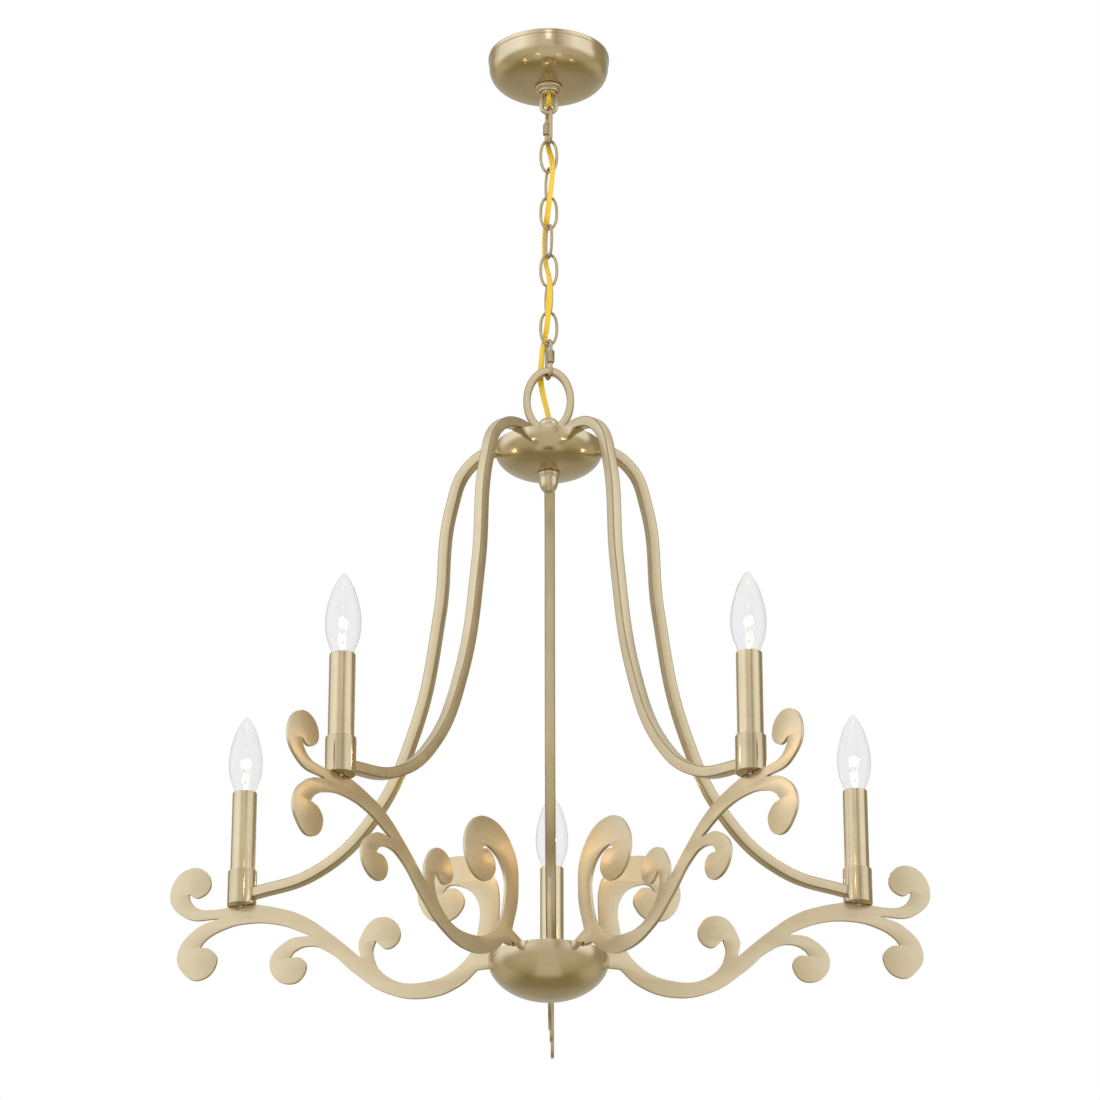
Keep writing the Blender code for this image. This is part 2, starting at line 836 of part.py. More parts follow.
def bowl():
    hole = POST_PIN_RADIUS + GAP
    profile = dish_profile(BOWL_RADIUS, BOWL_DEPTH, BOWL_RIM, hole, POST_FOOT_RADIUS + GAP, 2)
    turned("bowl", profile, BOWL_STEPS, satin_brass("bowl"))


def bowl_post():
    """Turned hub inside the bowl, where the tongues of the brackets meet."""
    floor = BOWL_RIM - BOWL_DEPTH + SHEET + GAP
    pin_end = floor - SHEET - 2 * GAP
    profile = [(radius, POST_TOP + height) for radius, height in POST_OUTLINE]
    profile += [
        (POST_FOOT_RADIUS, floor),
        (POST_PIN_RADIUS, floor),
        (POST_PIN_RADIUS, pin_end),
        (0, pin_end),
    ]
    turned("bowl_post", profile, SMALL_STEPS, satin_brass("post"))


clear_scene()
PARTS = collection(NAME)
CUTTERS = collection("cutters")
mounting_strap()
threaded_nipple()
canopy()
canopy_collar()
canopy_loop()
lowest_wire = chain()
power_cord()
hub_ring(lowest_wire)
hub_cap()
hub_core()
hub_rod()
hub_dish()
hub_finial()
arms()
bowl()
bowl_post()
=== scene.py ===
"""Looks for the five-arm hanging chandelier: satin champagne brass, clear candle bulbs, gold flex.

Metres, +Z up, origin at the centre of the ceiling face of the mounting strap.
"""

import math

import bmesh
import bpy
from mathutils import Matrix, Vector


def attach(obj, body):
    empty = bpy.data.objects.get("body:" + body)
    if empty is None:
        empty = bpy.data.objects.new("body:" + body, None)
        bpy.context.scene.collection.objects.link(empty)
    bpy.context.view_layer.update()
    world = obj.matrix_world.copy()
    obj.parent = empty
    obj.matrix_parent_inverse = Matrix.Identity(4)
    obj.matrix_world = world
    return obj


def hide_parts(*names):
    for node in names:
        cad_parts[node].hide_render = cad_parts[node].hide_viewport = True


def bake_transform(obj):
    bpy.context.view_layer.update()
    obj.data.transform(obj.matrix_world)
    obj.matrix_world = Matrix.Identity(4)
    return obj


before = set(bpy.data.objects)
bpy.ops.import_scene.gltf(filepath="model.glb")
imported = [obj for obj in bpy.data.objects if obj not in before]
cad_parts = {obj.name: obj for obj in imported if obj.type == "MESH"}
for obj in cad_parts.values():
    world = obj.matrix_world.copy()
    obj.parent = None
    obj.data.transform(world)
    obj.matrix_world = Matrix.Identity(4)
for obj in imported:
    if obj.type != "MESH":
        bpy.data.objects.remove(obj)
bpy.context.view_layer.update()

MM = 0.001
GAP = 0.0003
ARM_COUNT = 5
BACK_ARM_ANGLE = math.radians(90)
SLEEVE_TOP = -0.815
CANDLE_RADIUS = 0.332
CANOPY_DEPTH = 0.036
CANOPY_SQUARENESS = 3.3
CANOPY_RIM_DROP = 0.005
SHEET = 0.001
LOOP_WIRE = 0.0054
LOOP_HALF_WIDTH = 0.0076
LOOP_BOTTOM = -0.0674
ROD_HOLE = 0.0052
RING_HALF_WIDTH = 0.0268
RING_HALF_BAND = 0.0039
HUB_CAP_TOP = SLEEVE_TOP + 0.381
HUB_CORE_TOP = SLEEVE_TOP + 0.362
DISH_RIM = SLEEVE_TOP + 0.346
DISH_DEPTH = 0.029
DISH_RADIUS = 0.0567
DISH_SQUARENESS = 2.3
BOWL_RIM = SLEEVE_TOP - 0.216
BOWL_DEPTH = 0.0413
BOWL_RADIUS = 0.0608
CUP_RADIUS = 0.0150
ARM_HALF_SIDE = 0.0055
ARM_CORNER = 0.0011
BULB_TIP = 0.086
FLOOR_LEVEL = -2.75
CAMERA_PLACE = (0.0452, -4.2678, -2.4910)
CAMERA_TILT = 24.06  # degrees up from level
CAMERA_TURN = 0.5886  # degrees to the left
CAMERA_LENS = 147.76  # on a sensor 36 mm wide
LINK_WIRE = 0.0032
LINK_HALF_WIDTH = 0.0086
LINK_HALF_LENGTH = 0.01905
LINK_SQUARENESS = 2.3
SIDEWAYS_LINK_ANGLE = math.radians(-68)
QUICK_WIRE = 0.0038
QUICK_HALF_WIDTH = 0.0074
QUICK_HALF_LENGTH = 0.02165
QUICK_ANGLE = math.radians(-72)
PLATE_THICKNESS = 0.0035

CORNER = True
ARM_LINE = (
    (19.6, 347.2), (21.8, 347.5), (52, 353), (88, 337), (107, 293), (119, 174),
    (146, 43), (192, -48), (250, -95.2), (325, -112),
)
SCROLL_OUTLINE = (
    (315.7, -123.3, CORNER), (327.5, -123.3, CORNER), (327.5, -127.0, CORNER),
    (336.5, -127.0, CORNER), (336.5, -123.3, CORNER), (346.0, -123.3, CORNER),
    (363, -124), (379, -121), (388.6, -111.4), (390.6, -104.3, CORNER),
    (379, -109), (366.3, -94.3), (387.7, -75.7), (411.4, -102.9), (393, -129.4),
    (356.3, -134.3, CORNER),
    (381.4, -142.9), (401, -168), (395.7, -187), (375.7, -198.3), (357.4, -180),
    (364, -167), (376.3, -163.1, CORNER),
    (370, -155.7), (349, -146), (324.3, -142.9), (290, -148), (254.6, -163.7, CORNER),
    (281.4, -167), (298.9, -191.4), (275, -213), (259, -198.6), (264, -187),
    (276.9, -185, CORNER),
    (271.4, -178.6), (254, -175), (235.7, -183), (207, -208.6), (173, -233),
    (130, -243.4), (93, -234), (75, -219.5, CORNER),
    (62.6, -219.5, CORNER), (62.6, -215.6, CORNER), (58.2, -215.6, CORNER),
    (55, -218.5, CORNER), (14.4, -230, CORNER), (14.4, -223, CORNER),
    (62, -203, CORNER),
    (52.3, -163), (61.4, -117), (100, -96.5), (133, -114.3), (135.7, -148.6),
    (113, -165), (91.4, -153), (92, -137), (104.3, -130), (112, -134.3, CORNER),
    (107, -128), (98.6, -127.4), (77, -143), (74.3, -177), (90, -210),
    (131, -226.5), (170, -217), (187, -190), (184.3, -177.5, CORNER),
    (170, -187), (157.7, -171.4), (179, -152.3), (201.4, -174.3),
    (200.3, -193, CORNER),
    (230, -166.3), (265, -140.5), (293, -129.4),
)
BULB_OUTLINE = (
    (3.2, 83.2), (6.0, 78), (9.0, 72.5), (11.6, 66), (13.6, 59), (15.6, 51.5), (16.9, 44), (17.5, 36),
    (17.4, 28), (16.4, 20), (14.6, 13.5), (12.4, 7.5), (10.6, 1.5), (8.6, -6), (6.4, -11),
)
CORD_ROUTE = (
    (0, 0, -5), (0, 0, -30), (0, 0, -45), (0, 3.6, -53.5), (-0.4, 9, -60),
    (-1.2, 12.6, -67.5), (-1.8, 13.8, -77), (-1.9, 13.7, -90), (-1.5, 13.0, -98),
    (-0.3, 10.2, -106), (1.0, 5.8, -114), (2.5, 0.5, -121.5), (3.5, -4.6, -130),
    (4.2, -9.2, -138.5), (4.0, -11.9, -147), (3.5, -12.6, -156), (2.6, -12.0, -165),
    (1.5, -9.6, -174), (0.2, -6.2, -181.5), (-0.9, -2.2, -188.5), (-1.8, 1.6, -195),
    (-2.8, 5.2, -201), (-3.7, 9.0, -208), (-4.3, 11.9, -216.5), (-4.4, 12.7, -226),
    (-4.1, 12.0, -235), (-3.5, 9.4, -243.5), (-2.7, 5.8, -251), (-1.5, 1.8, -258),
    (-0.4, -2.2, -264.5), (0.5, -6.0, -271), (1.1, -9.6, -278.5), (1.2, -12.0, -287),
    (0.9, -12.6, -296), (0.3, -11.6, -305), (-0.4, -8.4, -314), (-1.3, -4.0, -322),
    (-2.3, 0.4, -329.5), (-3.7, 4.0, -336.5), (-5.5, 5.8, -344), (-7.0, 6.6, -353),
    (-7.8, 6.7, -364), (-8.6, 6.9, -376), (-8.4, 6.6, -388), (-7.0, 5.0, -399),
    (-4.8, 2.8, -411), (-2.2, 0.9, -423), (-0.4, 0.0, -433), (0, 0, -444), (0, 0, -452),
)


# ---------------------------------------------------------------- materials

def node(finish, kind, settings=None, **inputs):
    """Adds a node; an input is a number or another node's output. A name like n0 is a position."""
    made = finish.node_tree.nodes.new(kind)
    for key, value in (settings or {}).items():
        setattr(made, key, value)
    for key, value in inputs.items():
        at = int(key[1:]) if key[0] == "n" and key[1:].isdigit() else key.replace("_", " ")
        if isinstance(value, bpy.types.NodeSocket):
            finish.node_tree.links.new(value, made.inputs[at])
        else:
            made.inputs[at].default_value = value
    return made


def principled(name, **constants):
    finish = bpy.data.materials.new(name)
    finish.use_nodes = True
    shader = finish.node_tree.nodes["Principled BSDF"]
    for key, value in constants.items():
        shader.inputs[key.replace("_", " ")].default_value = value
    return finish, shader


def link(finish, output, socket):
    finish.node_tree.links.new(output, socket)


def around_axis(finish):
    """Coordinates that run round the object's own Z axis, for marks left by turning."""
    at = node(finish, "ShaderNodeTexCoord").outputs["Object"]
    split = node(finish, "ShaderNodeSeparateXYZ", Vector=at)
    flat = node(finish, "ShaderNodeCombineXYZ", X=split.outputs["X"], Y=split.outputs["Y"])
    radius = node(finish, "ShaderNodeVectorMath", {"operation": "LENGTH"}, n0=flat.outputs[0])
    way = node(finish, "ShaderNodeVectorMath", {"operation": "NORMALIZE"}, n0=flat.outputs[0])
    rings = node(finish, "ShaderNodeCombineXYZ", X=radius.outputs["Value"], Z=split.outputs["Z"])
    scale, plus = {"operation": "SCALE"}, {"operation": "ADD"}
    fine = node(finish, "ShaderNodeVectorMath", scale, n0=rings.outputs[0], Scale=1500.0)
    turn = node(finish, "ShaderNodeVectorMath", scale, n0=way.outputs[0], Scale=1.2)
    both = node(finish, "ShaderNodeVectorMath", plus, n0=fine.outputs[0], n1=turn.outputs[0])
    return both.outputs[0], at


def along_grain(finish, source, scale):
    """Coordinates stretched along a straight brushed grain."""
    coordinates = node(finish, "ShaderNodeTexCoord")
    stretched = node(finish, "ShaderNodeMapping", Vector=coordinates.outputs[source], Scale=scale)
    return stretched.outputs[0], coordinates.outputs["Object"]


GRAINS = {
    "turned": around_axis,
    "plate": lambda finish: along_grain(finish, "Object", (70.0, 900.0, 1500.0)),
    "drawn": lambda finish: along_grain(finish, "UV", (1700.0, 45.0, 1.0)),
    "cast": lambda finish: along_grain(finish, "Object", (700.0, 700.0, 700.0)),
}


def metal(name, grain, colour, roughness, depth=1.0, turned_gloss=0.0):
    """Brushed metal: fine grain in its height and gloss, and slow drifts of tone under it."""
    finish, shader = principled(
        name, Metallic=1.0, Coat_Weight=0.12, Coat_Roughness=0.22, Anisotropic=turned_gloss,
        Anisotropic_Rotation=0.25,
    )
    fine_at, wide_at = GRAINS[grain](finish)
    fine = node(finish, "ShaderNodeTexNoise", Vector=fine_at, Scale=1.0, Detail=3.0, Roughness=0.6)
    wide = node(finish, "ShaderNodeTexNoise", Vector=wide_at, Scale=38.0, Detail=4.0, Roughness=0.55)
    pits = node(finish, "ShaderNodeTexNoise", Vector=wide_at, Scale=900.0, Detail=2.0)
    tone = node(
        finish, "ShaderNodeMath", {"operation": "ADD"}, n0=wide.outputs["Fac"], n1=fine.outputs["Fac"],
    )
    half = node(finish, "ShaderNodeMath", {"operation": "MULTIPLY"}, n0=tone.outputs[0], n1=0.5)
    ramp = node(finish, "ShaderNodeValToRGB", Fac=half.outputs[0])
    ramp.color_ramp.elements[0].position = 0.34
    ramp.color_ramp.elements[1].position = 0.66
    ramp.color_ramp.elements[0].color = (*[c * 0.90 for c in colour], 1)
    ramp.color_ramp.elements[1].color = (*[min(1.0, c * 1.07) for c in colour], 1)
    link(finish, ramp.outputs["Color"], shader.inputs["Base Color"])
    gloss = node(
        finish, "ShaderNodeMapRange", Value=tone.outputs[0],
        From_Min=0.7, From_Max=1.3, To_Min=roughness - 0.05, To_Max=roughness + 0.07,
    )
    link(finish, gloss.outputs["Result"], shader.inputs["Roughness"])
    height = node(
        finish, "ShaderNodeMath", {"operation": "MULTIPLY_ADD"},
        n0=pits.outputs["Fac"], n1=0.25, n2=fine.outputs["Fac"],
    )
    bump = node(finish, "ShaderNodeBump", Strength=0.10 * depth, Distance=0.00008, Height=height.outputs[0])
    link(finish, bump.outputs["Normal"], shader.inputs["Normal"])
    if turned_gloss:
        tangent = node(finish, "ShaderNodeTangent", {"direction_type": "RADIAL", "axis": "Z"})
        link(finish, tangent.outputs["Tangent"], shader.inputs["Tangent"])
    return finish


BRASS = (0.62, 0.54, 0.385)


def brass(name, grain, roughness=0.30, depth=1.0, turned_gloss=0.0):
    return metal(name, grain, BRASS, roughness, depth, turned_gloss)


def glass():
    """Clear bulb glass with the faint waviness of blown glass."""
    finish, shader = principled(
        "bulb_glass", Base_Color=(0.95, 0.95, 0.953, 1), Roughness=0.0, IOR=1.46, Transmission_Weight=1.0,
    )
    at = node(finish, "ShaderNodeTexCoord").outputs["Object"]
    waves = node(finish, "ShaderNodeTexNoise", Vector=at, Scale=60.0, Detail=1.0)
    bump = node(finish, "ShaderNodeBump", Strength=0.10, Distance=0.0004, Height=waves.outputs["Fac"])
    link(finish, bump.outputs["Normal"], shader.inputs["Normal"])
    return finish


def glow():
    """Hot filament, a little hotter along some of its length."""
    finish, shader = principled("filament_glow", Base_Color=(0.2, 0.1, 0.05, 1), Emission_Strength=8.0)
    at = node(finish, "ShaderNodeTexCoord").outputs["Object"]
    beads = node(finish, "ShaderNodeTexNoise", Vector=at, Scale=400.0, Detail=1.0)
    ramp = node(finish, "ShaderNodeValToRGB", Fac=beads.outputs["Fac"])
    ramp.color_ramp.elements[0].color = (1.0, 0.42, 0.11, 1)
    ramp.color_ramp.elements[1].color = (1.0, 0.66, 0.30, 1)
    link(finish, ramp.outputs["Color"], shader.inputs["Emission Color"])
    return finish


def flex():
    """Clear gold sleeve over two bundles of fine wire: the twist of the strands shows through."""
    finish, shader = principled(
        "gold_flex", Roughness=0.22, Coat_Weight=0.6, Coat_Roughness=0.08, Subsurface_Weight=0.25,
        Subsurface_Radius=(0.002, 0.0012, 0.0002), Subsurface_Scale=1.0, IOR=1.5,
    )
    at = node(finish, "ShaderNodeTexCoord").outputs["UV"]
    slanted = node(finish, "ShaderNodeMapping", Vector=at, Rotation=(0, 0, 0.6))
    strands = node(
        finish, "ShaderNodeTexWave", {"bands_direction": "X"}, Vector=slanted.outputs[0],
        Scale=420.0, Distortion=1.2, Detail=2.0,
    )
    ramp = node(finish, "ShaderNodeValToRGB", Fac=strands.outputs["Fac"])
    ramp.color_ramp.elements[0].color = (0.80, 0.47, 0.006, 1)
    ramp.color_ramp.elements[1].color = (0.98, 0.74, 0.03, 1)
    link(finish, ramp.outputs["Color"], shader.inputs["Base Color"])
    ripple = node(finish, "ShaderNodeTexNoise", Vector=at, Scale=260.0, Detail=2.0)
    bump = node(finish, "ShaderNodeBump", Strength=0.2, Distance=0.0002, Height=ripple.outputs["Fac"])
    link(finish, bump.outputs["Normal"], shader.inputs["Normal"])
    return finish


def moulded(name, colour, roughness):
    """Moulded or fired insulating part with a slightly uneven skin."""
    finish, shader = principled(name, Specular_IOR_Level=0.4)
    at = node(finish, "ShaderNodeTexCoord").outputs["Object"]
    skin = node(finish, "ShaderNodeTexNoise", Vector=at, Scale=500.0, Detail=3.0)
    ramp = node(finish, "ShaderNodeValToRGB", Fac=skin.outputs["Fac"])
    ramp.color_ramp.elements[0].color = (*[c * 0.88 for c in colour], 1)
    ramp.color_ramp.elements[1].color = (*colour, 1)
    link(finish, ramp.outputs["Color"], shader.inputs["Base Color"])
    gloss = node(
        finish, "ShaderNodeMapRange", Value=skin.outputs["Fac"], To_Min=roughness, To_Max=roughness + 0.15)
    link(finish, gloss.outputs["Result"], shader.inputs["Roughness"])
    bump = node(finish, "ShaderNodeBump", Strength=0.25, Distance=0.0001, Height=skin.outputs["Fac"])
    link(finish, bump.outputs["Normal"], shader.inputs["Normal"])
    return finish


SPUN = brass("spun_brass", "turned", 0.17, 0.3, 0.35)
TUBE = brass("turned_tube_brass", "turned", 0.20, 0.2, 0.5)
CUP_METAL = metal("turned_cup_brass", "turned", (0.55, 0.475, 0.33), 0.15, 0.2, 0.5)
TURNED = brass("turned_brass", "turned", 0.20, 0.7, 0.2)
DRAWN = brass("drawn_brass", "drawn", 0.30)
# Darker brass for the rounded corners of the arms and the ring's band: painted shade, a dark line along
# each corner.
DRAWN_CORNER_SHADE = metal("drawn_corner_painted_shade", "drawn", (0.36, 0.29, 0.17), 0.34)
PLATE = brass("plate_brass", "plate", 0.36, 1.2)
PLATE_EDGE = brass("plate_edge_brass", "cast", 0.34, 1.6)
LINK_METAL = metal("link_brass", "drawn", (0.47, 0.40, 0.27), 0.07, 0.3)
CAST = brass("cast_brass", "cast", 0.24, 0.8)
ZINC = metal("zinc_steel", "cast", (0.62, 0.62, 0.60), 0.34)
SCREW_BRASS = metal("base_brass", "turned", (0.72, 0.56, 0.30), 0.24)
GREEN_SCREW = metal("green_screw", "cast", (0.05, 0.30, 0.10), 0.30)
GLASS = glass()
GLOW = glow()
FLEX = flex()
WHITE = moulded("socket_porcelain", (0.86, 0.85, 0.80), 0.35)
BLACK = moulded("bulb_insulator", (0.05, 0.05, 0.055), 0.25)


# ---------------------------------------------------------------- shapes

def add(name, mesh, finishes, body, stands_for=(), matrix=None):
    made = bpy.data.objects.new(name, mesh)
    bpy.context.scene.collection.objects.link(made)
    if not mesh.materials:
        for finish in finishes if isinstance(finishes, (list, tuple)) else (finishes,):
            mesh.materials.append(finish)
    if matrix is not None:
        made.matrix_world = matrix
    if body:
        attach(made, body)
    if stands_for:
        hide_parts(*stands_for)
    return made


def shaded(mesh, angle=35):
    for polygon in mesh.polygons:
        polygon.use_smooth = True
    mesh.set_sharp_from_angle(angle=math.radians(angle))
    return mesh


def rounded(points, closed=True, steps=5):
    """Rounds the corners of a polyline of (x, y, radius) points."""
    made = []
    count = len(points)
    for i, (x, y, radius) in enumerate(points):
        corner = Vector((x, y))
        if radius == 0 or (not closed and i in (0, count - 1)):
            made.append((x, y))
            continue
        back = Vector(points[i - 1][:2]) - corner
        on = Vector(points[(i + 1) % count][:2]) - corner
        cut = min(radius, back.length * 0.45, on.length * 0.45)
        start, end = corner + back.normalized() * cut, corner + on.normalized() * cut
        for k in range(steps + 1):
            t = k / steps
            made.append(tuple(start.lerp(corner, t).lerp(corner.lerp(end, t), t)))
    return made


def superellipse(half_width, half_height, squareness, count, start=0.0, end=math.tau):
    full = abs(end - start) > math.tau - 0.001
    steps = count if full else count - 1
    points = []
    for i in range(count):
        angle = start + (end - start) * i / steps
        x, y = math.cos(angle), math.sin(angle)
        points.append((
            half_width * math.copysign(abs(x) ** (2 / squareness), x),
            half_height * math.copysign(abs(y) ** (2 / squareness), y),
        ))
    return points


def lathe(name, profile, steps=64, closed=True, angle=35):
    """Turns (radius, height) points about Z. A point on the axis becomes one vertex."""
    mesh = bpy.data.meshes.new(name)
    vertices, faces, rings = [], [], []
    for radius, height in profile:
        if radius < 1e-7:
            rings.append([len(vertices)])
            vertices.append((0, 0, height))
            continue
        rings.append(list(range(len(vertices), len(vertices) + steps)))
        for k in range(steps):
            turn = math.tau * k / steps
            vertices.append((radius * math.cos(turn), radius * math.sin(turn), height))
    pairs = list(zip(rings, rings[1:])) + ([(rings[-1], rings[0])] if closed else [])
    for a, b in pairs:
        for k in range(steps):
            n = (k + 1) % steps
            if len(a) == 1 and len(b) == 1:
                continue
            if len(a) == 1:
                faces.append((a[0], b[n], b[k]))
            elif len(b) == 1:
                faces.append((a[k], a[n], b[0]))
            else:
                faces.append((a[k], a[n], b[n], b[k]))
    mesh.from_pydata(vertices, [], faces)
    work = bmesh.new()
    work.from_mesh(mesh)
    bmesh.ops.recalc_face_normals(work, faces=work.faces)
    work.to_mesh(mesh)
    work.free()
    return shaded(mesh, angle)


def sweep(name, path, section, side, closed=False, swell=None, twist=None, angle=40):
    """Carries a section along a path. side fixes which way its x points. U runs round, V along."""
    mesh = bpy.data.meshes.new(name)
    count, around = len(path), len(section)
    vertices, faces, lengths = [], [], [0.0]
    for i, point in enumerate(path):
        before = path[i - 1] if i or closed else point
        after = path[(i + 1) % count] if i < count - 1 or closed else point
        along = (after - before).normalized()
        across = (side - along * side.dot(along)).normalized()
        up = along.cross(across)
        if twist:
            spin = Matrix.Rotation(twist(i), 3, along)
            across, up = spin @ across, spin @ up
        grow = swell(i) if swell else 1.0
        vertices += [point + (across * x + up * y) * grow for x, y in section]
        lengths.append(lengths[-1] + (path[(i + 1) % count] - point).length)
    perimeter = [0.0]
    for k in range(around):
        perimeter.append(perimeter[-1] + (Vector(section[(k + 1) % around]) - Vector(section[k])).length)
    uvs = []
    for i in range(count if closed else count - 1):
        n = (i + 1) % count
        for k in range(around):
            m = (k + 1) % around
            faces.append((i * around + k, i * around + m, n * around + m, n * around + k))
            uvs += [(perimeter[k], lengths[i]), (perimeter[k + 1], lengths[i]),
                    (perimeter[k + 1], lengths[i + 1]), (perimeter[k], lengths[i + 1])]
    if not closed:
        for ring, reverse in ((0, False), (count - 1, True)):
            cap = [ring * around + k for k in range(around)]
            faces.append(tuple(cap if reverse else cap[::-1]))
            uvs += [(0.0, lengths[ring])] * around
    mesh.from_pydata(vertices, [], faces)
    layer = mesh.uv_layers.new(name="UVMap")
    for loop, uv in zip(layer.data, uvs):
        loop.uv = uv
    return shaded(mesh, angle)


def rounded_bar(half_width, half_height, radius):
    """Section of a rectangular bar with rounded corners."""
    corners = ((-1, -1), (1, -1), (1, 1), (-1, 1))
    return rounded([(x * half_width, y * half_height, radius) for x, y in corners], steps=3)


def paint_corner_shade(mesh, section):
    """Gives finish 1, a darker brass that is painted shade along each corner line, to the rounded corners
    of a swept bar.
    """
    around = len(section)
    for polygon in mesh.polygons:
        k = polygon.index % around
        side = Vector(section[(k + 1) % around]) - Vector(section[k])
        if polygon.index < len(mesh.polygons) // around * around and side.length < 0.0015:
            polygon.material_index = 1


def circle(radius, count):
    angles = [math.tau * k / count for k in range(count)]
    return [(radius * math.cos(a), radius * math.sin(a)) for a in angles]


def smooth_stretch(line, i, steps=6):
    """Points of the smooth curve through a line's points, from point i up to the next one."""
    p = [line[max(0, i - 1)], line[i], line[i + 1], line[min(len(line) - 1, i + 2)]]
    made = []
    for k in range(steps):
        t = k / steps
        made.append(0.5 * (
            2 * p[1] + (p[2] - p[0]) * t + (2 * p[0] - 5 * p[1] + 4 * p[2] - p[3]) * t ** 2
            + (3 * p[1] - p[0] - 3 * p[2] + p[3]) * t ** 3
        ))
    return made


def bezier_points(points, resolution):
    """Points of the smooth line through (x, y) points in millimetres."""
    data = bpy.data.curves.new("line", "CURVE")
    data.dimensions = "2D"
    fill_spline(data, points, False)
    data.resolution_u = resolution
    data.fill_mode = "NONE"
    found = bpy.data.objects.new("line", data)
    bpy.context.scene.collection.objects.link(found)
    bpy.context.view_layer.update()
    mesh = bpy.data.meshes.new_from_object(found.evaluated_get(bpy.context.evaluated_depsgraph_get()))
    made = [v.co.copy() for v in mesh.vertices]
    bpy.data.objects.remove(found)
    return made


def fill_spline(data, points, closed):
    line = data.splines.new("BEZIER")
    line.bezier_points.add(len(points) - 1)
    for point, given in zip(line.bezier_points, points):
        point.co = (given[0] * MM, given[1] * MM, 0)
        kind = "VECTOR" if len(given) > 2 else "AUTO"
        point.handle_left_type = kind
        point.handle_right_type = kind
    line.use_cyclic_u = closed


def solid_outline(name, outline, thickness, bevel):
    """A flat plate with softened edges, lying in X and Z. Its faces get finish 0 and its edges 1."""
    data = bpy.data.curves.new(name, "CURVE")
    data.dimensions = "2D"
    fill_spline(data, outline, True)
    data.resolution_u = 12
    data.fill_mode = "BOTH"
    data.bevel_depth = bevel
    data.bevel_resolution = 2
    data.offset = -bevel
    data.extrude = thickness / 2 - bevel
    found = bpy.data.objects.new(name, data)
    bpy.context.scene.collection.objects.link(found)
    bpy.context.view_layer.update()
    mesh = bpy.data.meshes.new_from_object(found.evaluated_get(bpy.context.evaluated_depsgraph_get()))
    bpy.data.objects.remove(found)
    mesh.transform(Matrix.Rotation(math.pi / 2, 4, "X"))
    work = bmesh.new()
    work.from_mesh(mesh)
    bmesh.ops.remove_doubles(work, verts=work.verts, dist=0.000002)
    bmesh.ops.recalc_face_normals(work, faces=work.faces)
    work.to_mesh(mesh)
    work.free()
    for polygon in mesh.polygons:
        polygon.use_smooth = True
        polygon.material_index = 0 if abs(polygon.normal.y) > 0.95 else 1
    mesh.set_sharp_from_angle(angle=math.radians(28))
    return mesh


def refinish(node_name, finish):
    """Keeps a CAD solid as it is and gives it a better surface."""
    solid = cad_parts[node_name]
    solid.data.materials.clear()
    solid.data.materials.append(finish)


def upright(x=0.0, y=0.0, z=0.0, turn=0.0):
    return Matrix.Translation((x, y, z)) @ Matrix.Rotation(turn, 4, "Z")


# ---------------------------------------------------------------- ceiling fittings

